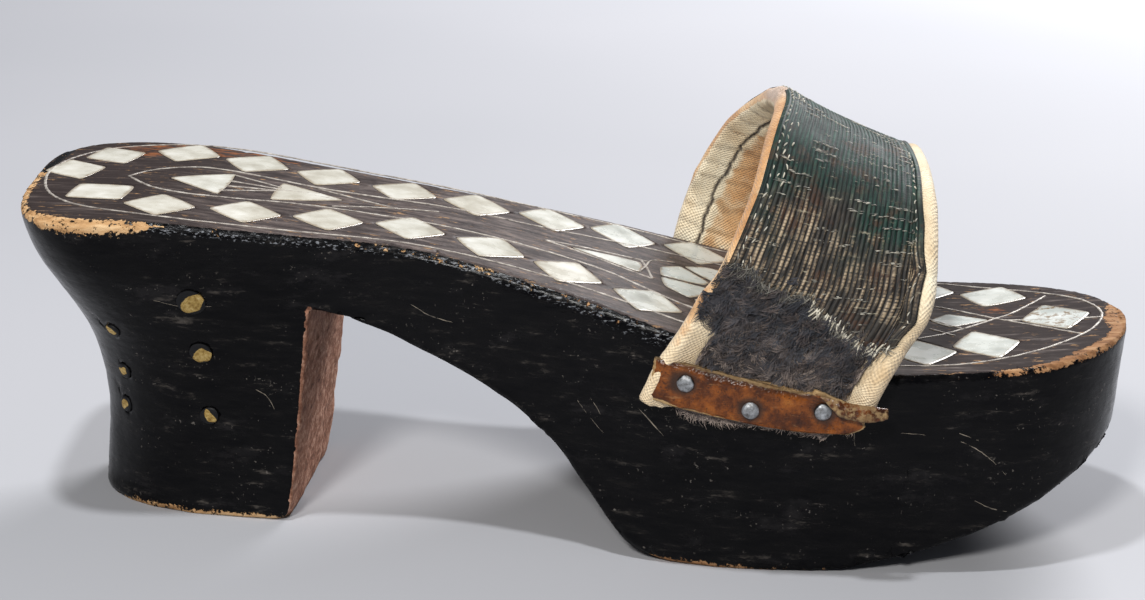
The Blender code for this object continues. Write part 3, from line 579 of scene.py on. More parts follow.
def measure_footbed():
    """Places along the clog, the footbed's height there and its edge on each side."""
    places, heights, near, far = [], [], [], []
    for x in np.linspace(SOLE_LOW.x + 1.5 * MM, SOLE_HIGH.x - 1.5 * MM, 240):
        z = cast(SOLE_TREE, (x, 0, 1), (0, 0, -1)).z
        edges = [cast(SOLE_TREE, (x, side, z - RIM_CHECK), (0, -side, 0)) for side in (-1, 1)]
        if None in edges:
            continue
        inside = min(edges[0].y + RIM_CLEAR, 0)
        places.append(x)
        heights.append(cast(SOLE_TREE, (x, inside, 1), (0, 0, -1)).z)
        near.append(edges[0].y)
        far.append(edges[1].y)
    return np.array(places), np.array(heights), np.array(near), np.array(far)


BED_X, BED_Z, BED_NEAR, BED_FAR = measure_footbed()


def bed_height(x):
    return np.interp(x, BED_X, BED_Z)


class StrapFace:
    """The strap's inner face, measured from its lining.

    along runs in metres from the strap's near end over the foot to its far end, and across runs
    from 0 at the rear edge to 1 at the front edge.
    """

    levels = 25
    columns = 9
    dense = (401, 81)

    def __init__(self):
        tree = solid_tree("strap_lining")
        low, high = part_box("strap_lining")
        self.scan = np.arange(low.x, high.x, 0.25 * MM)
        tip = min((v.co for v in NODES["strap_lining"].data.vertices), key=lambda co: co.z)
        self.drop = float(bed_height(tip.x)) - tip.z
        angles = [pi * i / (self.levels - 1) for i in range(self.levels)]
        near = [self.level(tree, 0.0, self.drop * share) for share in (0.98, 0.5)]
        far = [self.level(tree, pi, self.drop * share) for share in (0.5, 0.98)]
        rows = near + [self.level(tree, angle, 0.0) for angle in angles] + far
        self.build(np.array(rows))

    def level(self, tree, angle, drop):
        """One line across the strap, at an angle round the foot or at a drop below the footbed."""
        way = (0, -cos(angle), sin(angle))
        found = [x for x in self.scan if cast(tree, (x, 0, bed_height(x) - drop), way)]
        line = []
        for x in np.linspace(min(found), max(found), self.columns):
            point = None
            for shift in NAIL_DODGES:
                inside = min(max(x + shift, min(found)), max(found))
                point = point or cast(tree, (inside, 0, bed_height(inside) - drop), way)
            line.append((x, point.y, point.z))
        return line

    def build(self, rows):
        """A dense smooth grid through the measured lines, with its outward directions."""
        count, columns = self.dense
        middle = rows[:, self.columns // 2]
        steps = np.linalg.norm(np.diff(middle, axis=0), axis=1)
        lengths = np.concatenate([[0], np.cumsum(steps)])
        self.length = lengths[-1]
        grid = self.curve(rows, np.interp(np.linspace(0, self.length, count), lengths, np.arange(len(rows))))
        lines = self.curve(grid.transpose(1, 0, 2), np.linspace(0, self.columns - 1, columns))
        grid = lines.transpose(1, 0, 2)
        self.grid = grid
        out = np.cross(np.gradient(grid, axis=1), np.gradient(grid, axis=0))
        out /= np.linalg.norm(out, axis=2, keepdims=True)
        middle_line = grid.mean(axis=(0, 1)) * (1, 0, 0.55)
        if ((grid - middle_line) * out).sum(axis=2).mean() < 0:
            out = -out
        self.out = out
        self.widths = np.linalg.norm(np.diff(grid, axis=1), axis=2).sum(axis=1)

    @staticmethod
    def curve(rows, at):
        """Smooth curves through rows of points, read at fractional row numbers."""
        i = np.clip(np.floor(at).astype(int), 0, len(rows) - 2)
        t = (at - i)[:, None, None]
        a, b, c, d = (rows[np.clip(i + k, 0, len(rows) - 1)] for k in (-1, 0, 1, 2))
        return 0.5 * (2 * b + (c - a) * t + (2 * a - 5 * b + 4 * c - d) * t ** 2
                      + (3 * b - a - 3 * c + d) * t ** 3)

    def read(self, table, along, across):
        i = np.clip(along / self.length, 0, 1) * (self.dense[0] - 1)
        j = np.clip(across, 0, 1) * (self.dense[1] - 1)
        i0, j0 = np.minimum(i.astype(int), self.dense[0] - 2), np.minimum(j.astype(int), self.dense[1] - 2)
        ti, tj = (i - i0)[..., None], (j - j0)[..., None]
        return (table[i0, j0] * (1 - ti) * (1 - tj) + table[i0 + 1, j0] * ti * (1 - tj)
                + table[i0, j0 + 1] * (1 - ti) * tj + table[i0 + 1, j0 + 1] * ti * tj)

    def at(self, along, across, lift):
        """Points above the inner face. Past the near or far end they go on straight."""
        along, across, lift = np.broadcast_arrays(np.asarray(along, float), across, lift)
        points = self.read(self.grid, along, across) + self.read(self.out, along, across) * lift[..., None]
        over = along - np.clip(along, 0, self.length)
        points[..., 2] -= np.abs(over)
        return points

    def width(self, along):
        return np.interp(along, np.linspace(0, self.length, self.dense[0]), self.widths)


STRAP = StrapFace()
SPRING = STRAP.drop      # along, where the strap leaves the near wall


def cover_reach():
    """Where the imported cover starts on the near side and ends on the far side, for each place across."""
    tree = solid_tree("strap_cover")
    across = np.linspace(0.08, 0.90, 24)
    steps = np.arange(0, STRAP.length, 0.4 * MM)
    starts, ends = [], []
    for u in across:
        line = STRAP.at(steps, u, (COVER_LOW + COVER_HIGH) / 2)
        held = [s for s, p in zip(steps, line) if tree.find_nearest(Vector(p))[3] < 0.55 * MM]
        starts.append(min(held))
        ends.append(max(held))
    return across, np.array(starts), np.array(ends)


COVER_ACROSS, COVER_START, COVER_END = cover_reach()


def cover_start(u):
    return np.interp(u, COVER_ACROSS, COVER_START)


# Sole


def cut_long_edges(bm, edges, limit):
    long = [e for e in edges if e.calc_length() > limit]
    bmesh.ops.subdivide_edges(bm, edges=long, cuts=1)
    bmesh.ops.triangulate(bm, faces=[f for f in bm.faces if len(f.verts) > 3])


def rim_edges(bm, outline):
    """The edges beside the footbed's rim."""
    held = {v for v in bm.verts if bed_height(v.co.x) - v.co.z < RIM_REACH
            and outline.find((v.co.x, v.co.y, 0))[2] < RIM_REACH}
    return [e for e in bm.edges if e.verts[0] in held and e.verts[1] in held]


def round_rim(points, normals, depth, rim):
    """Rolls the edge between footbed and wall into a rubbed round one."""
    waist = zone(points[:, 0], points[:, 1], (-28, -30), (110, 34))
    radius = (RIM_ROUND + RIM_EXTRA * waist) * (1 + 0.25 * wobble(points, 14 * MM, 15))
    on_wall = (depth > rim) & (depth < radius)
    on_top = (depth <= rim) & (rim < radius)
    share = np.where(on_wall, 1 - depth / radius, 1 + rim / radius)
    angle = pi / 4 * share
    inset, fall = radius * (1 - np.cos(angle)), radius * (1 - np.sin(angle))
    inward = -normals * (1, 1, 0)
    inward /= np.maximum(np.linalg.norm(inward, axis=1, keepdims=True), 1e-6)
    steady = np.linalg.norm(normals[:, :2], axis=1) > 0.25
    push = np.where(on_wall, inset, np.where(steady, inset - rim, 0))
    drop = np.where(on_wall, fall - depth, fall)
    held = on_wall | on_top
    points[held] += (inward * push[:, None])[held]
    points[held, 2] -= np.maximum(drop, 0)[held]


def zone(x, y, place, reach):
    """1 round a place given in mm, falling to 0 at its reach."""
    distance = np.hypot((x / MM - place[0]) / reach[0], (y / MM - place[1]) / reach[1])
    return np.clip(2 - 2 * distance, 0, 1)


def outline_tree():
    """The footbed's outline seen from above, as close points."""
    corners = [(x, y) for x, y in zip(BED_X, BED_NEAR)] + [(x, y) for x, y in zip(BED_X, BED_FAR)][::-1]
    points = []
    for a, b in zip(corners, corners[1:] + corners[:1]):
        a, b = np.array(a), np.array(b)
        count = int(np.linalg.norm(b - a) / (0.5 * MM)) + 1
        points += [a + (b - a) * k / count for k in range(count)]
    tree = KDTree(len(points))
    for i, point in enumerate(points):
        tree.insert((*point, 0), i)
    tree.balance()
    return tree


def measure_breast():
    """Where the heel's front face stands: its place at the floor, its slope and its top."""
    low, high = 8 * MM, 40 * MM
    places = [cast(SOLE_TREE, (ARCH_PLACE, 0, z), (-1, 0, 0)).x for z in (low, high)]
    slope = (places[1] - places[0]) / (high - low)
    top = cast(SOLE_TREE, (places[1] + 2 * MM, 0, 0), (0, 0, 1)).z
    return places[0] - slope * low, slope, top


BREAST_X, BREAST_SLOPE, BREAST_TOP = measure_breast()


def tapered(distance, reach, share):
    """1 near the rim and 0 past a reach that shrinks with share."""
    return 1 - soft_step(distance / (reach * np.maximum(share, 0.02)), 0.45, 1.0)


# Bands of bare wood at the toe, round the heel's end and at its near corner: their strength, their
# reach in mm, the weights of the way down and the way in from the rim, and their place and size in mm
BARE_BANDS = ((0.66, 4.8, 3.5, 1.0, (112, -14), (20, 30)),
              (0.58, 3.0, 1.0, 1.3, (-108, -22), (34, 34)),
              (0.64, 5.2, 1.0, 2.0, (-97, -33), (17, 16)))


def wood_values(points, normals, depth, rim):
    """Where the wood is footbed, worn, stained or heel breast, and where painted highlight flecks lie along
    the near rim, for each point.
    """
    x, y, z = points.T
    footbed = (1 - soft_step(depth, 0.10 * MM, 0.40 * MM)) * soft_step(rim, 0.5 * MM, 1.3 * MM)
    on_breast = (np.abs(x - BREAST_X - BREAST_SLOPE * z) < 1.2 * MM) & (normals[:, 0] > 0.4)
    breast = on_breast & (z < BREAST_TOP + 1 * MM)
    from_rim = np.maximum(depth, np.where(depth < 1.6 * MM, rim, 0))
    narrow = 1 - soft_step(from_rim, 0.8 * MM, 2.4 * MM)
    worn = narrow * np.clip(zone(x, y, (-108, -18), (34, 44)) + zone(x, y, (103, -27), (27, 22)), 0, 1) * 0.57
    for strength, reach, down, inward, place, size in BARE_BANDS:
        distance = np.maximum(down * depth, inward * rim)
        worn = np.maximum(worn, strength * tapered(distance, reach * MM, zone(x, y, place, size)))
    worn = np.maximum(worn, narrow * (0.27 + 0.10 * zone(x, y, (-8, -28), (44, 14))))
    low_edge = 1 - soft_step(z, 0.4 * MM, 2.6 * MM)
    forefoot_edge = zone(x, y, (30, -34), (20, 20))
    heel_edge = zone(x, y, (-78, -22), (34, 14))
    worn = np.maximum(worn, low_edge * (0.36 + 0.26 * forefoot_edge + 0.28 * heel_edge))
    stain = footbed * np.clip(zone(x, y, (-99, 27), (20, 9)) + zone(x, y, (-78, 31), (26, 7))
                              + zone(x, y, (91, 10), (6, 5)), 0, 1)
    # The heel and toe ends of the footbed, which the finish makes darker and duller.
    darker_ends = np.maximum(1 - soft_step(x, -92 * MM, -52 * MM), soft_step(x, 52 * MM, 84 * MM))
    beside_rim = (depth > 0.3 * MM) & (depth < 1.8 * MM) & (rim < 3 * MM)
    return {"footbed": footbed, "worn": worn, "stain": stain, "breast": breast.astype(float), "darker_ends": darker_ends,
            # painted highlight flecks on the near wall just below the rim
            "painted_highlight": zone(x, y, (-26, -32), (100, 36)) * beside_rim,
            "heelward": 1 - soft_step(x, -40 * MM, 40 * MM)}


def relax(points, edges, sharp, loose, rounds):
    """Smooths loose points. Points on a sharp line move only along that line."""
    count = len(points)
    lines = np.bincount(edges[sharp].ravel(), minlength=count)
    kinds = ((edges, loose & (lines < 2)), (edges[sharp], loose & (lines > 1)))
    for _ in range(rounds):
        for pairs, movable in kinds:
            total, degree = np.zeros((count, 3)), np.zeros(count)
            for a, b in ((0, 1), (1, 0)):
                np.add.at(total, pairs[:, a], points[pairs[:, b]])
                np.add.at(degree, pairs[:, a], 1)
            middle = total[movable] / degree[movable][:, None]
            points[movable] = 0.5 * points[movable] + 0.5 * middle


def away_from_pins(points):
    """Whether each point is clear of the holes that the brass pins fill."""
    clear = np.ones(len(points), bool)
    for node in NODES:
        if node.startswith("pin_"):
            _, top, radius, _ = axis_of(node)
            clear &= np.linalg.norm(points - np.array(top), axis=1) > radius + PIN_CLEAR
    return clear


def move_verts(bm, points):
    for v, p in zip(bm.verts, points):
        v.co = p


def make_sole():
    bm = bmesh.new()
    bm.from_mesh(NODES["carved_sole"].data)
    bmesh.ops.remove_doubles(bm, verts=bm.verts, dist=0.001 * MM)
    for limit in WOOD_EDGES:
        cut_long_edges(bm, bm.edges, limit)
    outline = outline_tree()
    for _ in range(2):
        cut_long_edges(bm, rim_edges(bm, outline), RIM_EDGE)
    bm.verts.index_update()
    points = np.array([v.co for v in bm.verts])
    edges = np.array([[v.index for v in e.verts] for e in bm.edges])
    angles = np.array([e.calc_face_angle(0) for e in bm.edges])
    turn = np.zeros(len(points))
    for side in (0, 1):
        np.maximum.at(turn, edges[:, side], angles)
    depth = bed_height(points[:, 0]) - points[:, 2]
    rim = np.array([outline.find((x, y, 0))[2] for x, y in points[:, :2]])
    clear = away_from_pins(points)
    relax(points, edges, angles > SHARP_ANGLE, ((depth > 1.7 * MM) | (rim < 2 * MM)) & clear, 5)
    move_verts(bm, points)
    bm.normal_update()
    normals = np.array([v.normal for v in bm.verts])
    values = wood_values(points, normals, depth, rim)
    free = soft_step(depth, 1.5 * MM, 3 * MM) * clear
    uneven = rough(points, (0.14, 9, 1), (0.05, 2.2, 2))
    chisel = 0.42 * wobble(points * (1, 0.5, 1), 3.5 * MM, 3) + 0.25 * wobble(points, 1.6 * MM, 4) - 0.15
    blunt = soft_step(turn, SHARP_ANGLE, 2 * SHARP_ANGLE) * (0.30 + 0.15 * wobble(points, 5 * MM, 5))
    chips = 0.16 * soft_step(values["worn"], 0.3, 0.6) * (rim < 2 * MM) * (0.5 + rough(points, (0.5, 2.0, 6)))
    shift = free * (uneven + values["breast"] * chisel - blunt) - chips
    moved = points + normals * shift[:, None] * MM
    round_rim(moved, normals, np.maximum(depth, 0), rim)
    moved[:, 2] = np.maximum(moved[:, 2], 0)
    move_verts(bm, moved)
    mesh = bpy.data.meshes.new("wooden_body")
    bm.to_mesh(mesh)
    bm.free()
    mesh.shade_smooth()
    mesh.set_sharp_from_angle(angle=radians(50))
    write_values(mesh, values)
    made = bpy.data.objects.new("wooden_body", mesh)
    return settle(made, wood_finish(), ["carved_sole"])


# Pearl plates


def plate_outline(node):
    """Corners of a plate's upper face, in order."""
    corners = {}
    for v in NODES[node].data.vertices:
        key = (round(v.co.x, 6), round(v.co.y, 6))
        corners[key] = max(corners.get(key, -1.0), v.co.z)
    centre = np.mean(list(corners), axis=0)
    return sorted(corners, key=lambda c: np.arctan2(c[1] - centre[1], c[0] - centre[0])), centre


def plate_ring(corners, centre, rng):
    """The outline with rounded, slightly uneven corners and sides, as points."""
    ring = []
    count = len(corners)
    steps = 9
    for i, corner in enumerate(corners):
        here, after = np.array(corner), np.array(corners[(i + 1) % count])
        bow = rng.uniform(0.02, 0.05)
        for k in range(steps):
            share = (k + 0.5) / steps
            point = here + (after - here) * share
            bulge = bow * 4 * share * (1 - share) - rng.uniform(0, 0.012)
            ring.append(point + (point - centre) * bulge)
    return np.array(ring)


# Each ring of a plate: its share of the outline, how far it spreads past it and its height, in mm
PLATE_RINGS = ((1.0, 0, -1.0), (1.0, 0, 0.0), (1.0, 0.40, 0.0), (1.0, 0.36, 0.04), (0.94, 0.2, 0.06),
               (0.80, 0, 0.08), (0.55, 0, 0.10), (0.28, 0, 0.12))


def make_plate(node, rng, finish, cool, spotted):
    corners, centre = plate_outline(node)
    ring = plate_ring(corners, centre, rng)
    count = len(ring)
    proud = rng.uniform(0.03, 0.07) * MM
    tilt = rng.uniform(-0.003, 0.003), rng.uniform(-0.005, 0.005)
    outward_way = (ring - centre) / np.linalg.norm(ring - centre, axis=1, keepdims=True)
    points, border = [], []
    for scale, spread, lift in PLATE_RINGS:
        for p, way in zip(ring, outward_way):
            side = (p - centre) * scale + way * spread * MM
            flat = centre + side
            z = bed_height(flat[0]) + proud + lift * MM + side[0] * tilt[0] + side[1] * tilt[1]
            points.append((flat[0], flat[1], z))
            border.append(scale ** 3 if spread < 0.3 else 1.25)
    points.append((*centre, bed_height(centre[0]) + proud + 0.12 * MM))
    border.append(0.0)
    last = (len(PLATE_RINGS) - 1) * count
    faces = ring_faces(len(PLATE_RINGS), count)
    faces += [(last + k, last + (k + 1) % count, len(points) - 1) for k in range(count)]
    faces.append(tuple(range(count - 1, -1, -1)))
    bulk = len(points)
    values = {"border": border, "cool": [cool] * bulk, "spotted": [spotted] * bulk}
    made = mesh_object(node.replace("pearl", "shell"), points, faces, values)
    made.data.set_sharp_from_angle(angle=radians(50))
    outward(made.data)
    return settle(made, finish, [node])


def make_plates():
    rng = random.Random(11)
    finish = pearl_finish()
    nodes = sorted(n for n in NODES if n.startswith("pearl_"))
    foremost = max(nodes, key=lambda n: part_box(n)[1].x)
    for node in nodes:
        low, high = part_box(node)
        near_strap = float(soft_step((low.x + high.x) / 2, -0.02, 0.03))
        cool = min(1.0, max(0.0, 0.62 * near_strap + rng.uniform(-0.20, 0.18)))
        if "petal" in node:
            cool = 0.95
        make_plate(node, rng, finish, cool, float(node == foremost))


# Wires. Each route is a list of places along and across, in mm from the photo's start.
WIRE_ROUTES = [
    [(204, 31.8), (217.4, 25.9), (226.7, 20.1), (233.0, 13.0), (235.4, 4.0), (233.6, -4.5), (228.6, -12.5),
     (218.7, -21.2), (205.3, -28.2), (192, -30.2), (176, -31.0), (160, -30.5), (148, -28.6), (136, -26.2),
     (117, -23.6), (104, -23.2), (88, -23.8), (72, -26.3), (55.7, -28.6), (42.8, -29.8), (30, -28.6),
     (19.4, -23.8), (12.0, -15.2), (7.6, -4), (5.9, 7), (7.6, 19), (14.0, 29.0), (26, 34.2), (42, 35.4),
     (60, 32.8), (78, 29.0), (96, 27.2), (115, 28.6), (135, 32.2), (155, 35.2), (175, 36.2), (192, 34.8),
     (204, 31.8)],
    [(24.3, 2.1), (29.6, -4.6), (33.6, -7.6), (40, -9.2), (50, -8.2), (64.7, -5.2), (85, -5.4), (110.6, -5.2),
     (128.3, -7.6), (137, -11.4), (147.4, -16.0), (158, -17.6), (172, -17.4), (186, -14.2), (198, -9.6),
     (205.6, -3.7), (213.1, 3.6), (217.3, 7.7), (225.1, 19.0)],
    [(24.3, 2.1), (28.2, 8.8), (36.5, 14.2), (43.7, 14.6), (55, 12.4), (65.1, 10.4), (79, 9.4), (95.2, 10.6),
     (112, 12.2), (126.6, 15.8), (140, 20.4), (154.7, 23.0), (170, 23.4), (186, 20.0), (201.1, 13.2),
     (213.1, 3.6), (221.5, -3.4), (230.0, -11.4)],
    [(45.5, -3.6), (56.6, 2.6)],
    [(46.2, 1.0), (57.2, 3.2), (66, 5.6)],
    [(46.2, 5.5), (57.0, 4.4), (70, 2.4)],
    [(45.8, 11.0), (57.2, 6.0)],
    [(64.3, 9.6), (71, 6.6), (77.2, 4.0), (84, 1.8)],
    [(70, -3.6), (79, 0.4), (92, 5.2)],
    [(198.7, -3.5), (203.5, -8.6)],
    [(198, 4.4), (205.6, -3.7)],
    [(214.6, 2.2), (224.0, 1.0), (234.8, 0.2)],
    [(115.2, 2.9), (122.1, 4.7), (129.7, 6.6), (137.4, 8.9)],
    [(115.2, 2.9), (124.0, 0.6), (132.0, -1.7), (139.4, -3.6)],
    [(136.2, 8.0), (137.7, 3.2), (139.2, -3.4)],
    [(136.3, -0.8), (137.3, 4.6), (138.4, 10.8), (143.2, 14.4)],
]
WIRE_HALF_WIDTH = 0.32 * MM
WIRE_HALF_HEIGHT = 0.16 * MM
WIRE_STEP = 1.2 * MM


def smooth_route(points, step):
    """A smooth curve through points, read about every step."""
    rows = np.array(points, float)[:, None, :]
    runs = np.linalg.norm(np.diff(rows[:, 0], axis=0), axis=1)
    at = np.concatenate([i + np.arange(0, 1, step / max(run, step)) for i, run in enumerate(runs)])
    return StrapFace.curve(rows, np.append(at, len(rows) - 1.0))[:, 0]


def tube(path, sides, radius, flatten=None):
    """Points and faces of a capped tube. radius may be a list, and flatten gives (up, share)."""
    path = np.asarray(path, float)
    forward = np.gradient(path, axis=0)
    forward /= np.linalg.norm(forward, axis=1, keepdims=True)
    up = np.array((0.1, 0.2, 1.0)) if flatten is None else np.array(flatten[0], float)
    squeeze = 1.0 if flatten is None else flatten[1]
    points = []
    for centre, way, reach in zip(path, forward, np.broadcast_to(radius, len(path))):
        side = np.cross(way, up)
        side /= np.linalg.norm(side)
        lift = np.cross(side, way)
        for k in range(sides):
            turn = 2 * pi * k / sides
            points.append(centre + reach * (cos(turn) * side + squeeze * sin(turn) * lift))
    return points, capped_faces(len(path), sides)


class Bundle:
    """Many small solids joined in one mesh, each point with a few values."""

    def __init__(self):
        self.points, self.faces, self.values = [], [], {}

    def add(self, points, faces, **values):
        start = len(self.points)
        self.points += [tuple(p) for p in points]
        self.faces += [tuple(i + start for i in face) for face in faces]
        for key, value in values.items():
            self.values.setdefault(key, []).extend(np.broadcast_to(value, len(points)))

    def object(self, name):
        made = mesh_object(name, self.points, self.faces, self.values)
        outward(made.data)
        return made


def make_wires():
    bundle = Bundle()
    rng = random.Random(5)
    for route in WIRE_ROUTES:
        flat = smooth_route(route, WIRE_STEP / MM) * MM
        flat[:, 0] -= PHOTO_START * MM
        shake = np.array([[rng.uniform(-1, 1), rng.uniform(-1, 1)] for _ in flat]) * 0.06 * MM
        flat = flat + shake
        heights = bed_height(flat[:, 0]) + 0.02 * MM
        path = np.column_stack([flat, heights])
        widths = WIRE_HALF_WIDTH * np.array([rng.uniform(0.75, 1.15) for _ in flat])
        bundle.add(*tube(path, 8, widths, ((0, 0, 1), WIRE_HALF_HEIGHT / WIRE_HALF_WIDTH)))
    return settle(bundle.object("tin_wires"), wire_finish())


# Scratches on the near wall: places along and heights, in mm
SCRATCHES = [
    [(70.2, 30.5), (76, 30.0), (83, 28.5), (88, 25.5), (92, 21.5)],
    [(74.0, 31.2), (80, 31.0), (86, 29.0)],
    [(60.8, 32.0), (60.9, 28.5), (61.6, 26.0)],
    [(2.8, 37.0), (4.5, 33.0), (8.0, 28.8), (10.5, 26.2)],
    [(4.4, 36.4), (7.5, 33.4), (9.6, 30.0)],
    [(17.0, 33.0), (20.5, 29.5), (22.4, 27.6)],
    [(-31, 50.2), (-27, 48.0), (-22, 46.8)],
    [(-84, 49.5), (-78, 48.2), (-72, 48.5)],
    [(86, 16.0), (91, 13.8), (97, 13.2)],
    [(-66, 30.0), (-62, 28.0), (-60, 24.5)],
]


def make_scratches():
    """Thin pale scratches through the black paint."""
    bundle = Bundle()
    rng = random.Random(21)
    for route in SCRATCHES:
        flat = smooth_route(route, 0.7)
        path = []
        for x, z in flat * MM:
            hit = cast(SOLE_TREE, (x, -0.1, z), (0, 1, 0))
            if hit:
                path.append((x, hit.y + 0.02 * MM, z + rng.uniform(-0.06, 0.06) * MM))
        share = np.sin(pi * np.linspace(0.08, 0.92, len(path)))
        radius = np.array([0.13 * MM * rng.uniform(0.4, 1.1) * a for a in share])
        bundle.add(*tube(path, 6, radius, ((0, 1, 0), 0.6)))
    return settle(bundle.object("wall_scratches"), scratch_finish())


# Strap


def hem_width(along, rear):
    """Width of the lining turned outward over an edge. On the near side the rear hem is torn off
    above the leather strip, and the front hem narrows beside the cover."""
    if rear:
        torn = soft_step(along, 19.5 * MM, 21.5 * MM)
        return HEM_WIDTH * (1 - torn) + 2.0 * MM * torn
    narrowed = soft_step(along, 21 * MM, 26 * MM)
    return HEM_WIDTH * (1 - narrowed) + 5.0 * MM * narrowed


def hem_path(hem):
    """One hem and the roll round its edge, as rows of (distance from the edge, lift, outward way)."""
    radius, centre = (HEM_LIFT - WALL_LIFT) / 2, (HEM_LIFT + WALL_LIFT) / 2
    bend = radius + CLOTH_HALF
    rows = [(hem + (bend - hem) * share, HEM_LIFT, 0, 1) for share in np.linspace(0, 1, 15)[:-1]]
    for turn in np.linspace(pi / 2, 3 * pi / 2, 13):
        rows.append((bend + radius * cos(turn), centre + radius * sin(turn), cos(turn), sin(turn)))
    return np.array(rows), bend


def lining_path(width, rear_hem, front_hem):
    """The lining's way across: (distance from the rear edge, lift) and its outward direction."""
    rear, bend = hem_path(rear_hem)
    front = hem_path(front_hem)[0][::-1] * (-1, 1, -1, 1) + (width, 0, 0, 0)
    fine, coarse = np.linspace(bend, SPLIT_END, 30)[1:], np.linspace(SPLIT_END, width - bend, 24)[1:-1]
    inside = np.concatenate([fine, coarse])
    flat = np.column_stack([inside, np.full((len(inside), 3), (WALL_LIFT, 0, -1))])
    rows = np.concatenate([rear, flat, front])
    return rows[:, :2], rows[:, 2:]


def seam_depth(s, d):
    """Cross seams of the quilted lining, every few millimetres along it."""
    waver = 0.9 * hum(s / (14 * MM), 4)
    bent = np.array([0.35 * hum(a / (5 * MM), s / (9 * MM), 6) for a in d])
    place = (s / (5.2 * MM) + waver + bent) % 1.0
    return 1 - soft_step(np.abs(place - 0.5) * 5.2 * MM, 0.2 * MM, 0.9 * MM)


def make_lining():
    rows = 210
    along = np.linspace(0.0, STRAP.length, rows)
    upper, lower, cloth, crack, browned, seamed = [], [], [], [], [], []
    for s in along:
        width = STRAP.width(s)
        jag = 0.55 * MM * hum(s / (2.3 * MM))
        jag += 0.35 * MM * hum(s / (0.8 * MM), 7)
        places, ways = lining_path(width, hem_width(s, True) + jag, hem_width(s, False) - jag)
        d, lift = places.T
        run = np.concatenate([[0], np.cumsum(np.hypot(*np.diff(places, axis=0).T))])
        trimmed = trim(s, d / width) + frayed_end(d) * (1 - soft_step(s, 0, 3 * MM))
        line = STRAP.at(trimmed, d / width, lift)
        free = soft_step(trimmed, 9 * MM, 14 * MM)
        inner = soft_step(-ways[:, 1], 0.2, 0.9)
        rear_roll = (1 - soft_step(d, 1.5 * MM, 4 * MM)) * (1 - inner)
        crease = rough(line, (0.30, 7, 8), (0.11, 2, 9))
        crease += rear_roll * rough(line, (0.25, 4, 10), (0.14, 1.1, 11))
        split, seam = split_depth(s, d) * inner, seam_depth(s, d) * inner
        crease *= (0.45 + 0.55 * inner) * (0.3 + 0.7 * free)
        lift = lift + MM * (crease + 0.5 * split + 0.22 * seam)
        knot = crown_knot(s, d) * (1 - inner)
        lift = lift + knot * (0.8 * MM + 1.3 * MM * wobble(line, 2.2 * MM, 14))
        base = STRAP.at(trimmed, d / width, lift)
        base[:, 0] -= flare(s) * (1 - soft_step(d, 2 * MM, 9 * MM))
        way = STRAP.at(trimmed, (d + ways[:, 0] * MM) / width, lift + ways[:, 1] * MM)
        way[:, 0] -= flare(s) * (1 - soft_step(d, 2 * MM, 9 * MM))
        way -= base
        way /= np.linalg.norm(way, axis=1, keepdims=True)
        upper.append(base + way * CLOTH_HALF)
        lower.append(base - way * CLOTH_HALF)
        cloth.append(np.column_stack([run, np.full(len(run), s), np.zeros(len(run))]))
        crack.append(np.maximum(split, 0.25 * seam))
        far = soft_step(s, 0.42 * STRAP.length, 0.50 * STRAP.length)
        behind_crack = soft_step(d, 6.0 * MM, 9 * MM) * inner
        torn = np.exp(-((s - 21 * MM) / (1.6 * MM)) ** 2) * (1 - inner) * 0.35
        rolled = rear_roll * soft_step(s, 16 * MM, 24 * MM)
        rolled += (1 - soft_step(d, 0.6 * MM, 1.5 * MM)) * (1 - inner) * 0.5
        brown = 0.75 * behind_crack * far + 0.80 * rolled * free + 0.30 * inner * seam + torn
        browned.append(np.clip(brown, 0, 1))
        seamed.append(knot)
    values = {"cloth": np.array(cloth), "crack": np.array(crack), "browned": np.array(browned),
              "greyed": np.array(seamed)}
    made = shell_object("canvas_lining", np.array(upper), np.array(lower), values)
    settle(made, canvas_finish(), ["strap_lining"])
    widest = max(c[:, 0].max() for c in cloth)
    return made


def trim(s, share):
    """Lifts the lower end of a layer, more toward the strap's front edge."""
    return s + TAB_TRIM * soft_step(share, 0.15, 0.75) * (1 - soft_step(s, 0, 16 * MM))


def frayed_end(d):
    return np.array([0.7 * hum(a / (1.5 * MM), 4, 8) for a in d]) * MM


def flare(s):
    """How far the lining spreads backward over the near wall."""
    return 1.1 * MM * (1 - soft_step(s, 6 * MM, 18 * MM))


def crown_knot(s, d):
    """The crumpled corner at the crown's rear edge."""
    reach = np.hypot((s - KNOT_PLACE * STRAP.length) / (11 * MM), (d - 1.5 * MM) / (6.5 * MM))
    return 1 - soft_step(reach, 0.3, 1.0)


def split_depth(s, d):
    """The dark split that runs down the lining's inner face on the far side."""
    start, end = 0.53 * STRAP.length, STRAP.length - SPRING + 2 * MM
    if not start < s < end:
        return np.zeros(len(d))
    line = 6.2 * MM + 0.9 * MM * hum(s / (6 * MM), 2)
    line += 0.4 * MM * hum(s / (1.5 * MM), 5)
    half = 0.42 * MM * (1 + 0.5 * hum(s / (3 * MM), 9))
    return 1 - soft_step(np.abs(d - line), half * 0.5, half * 1.4)


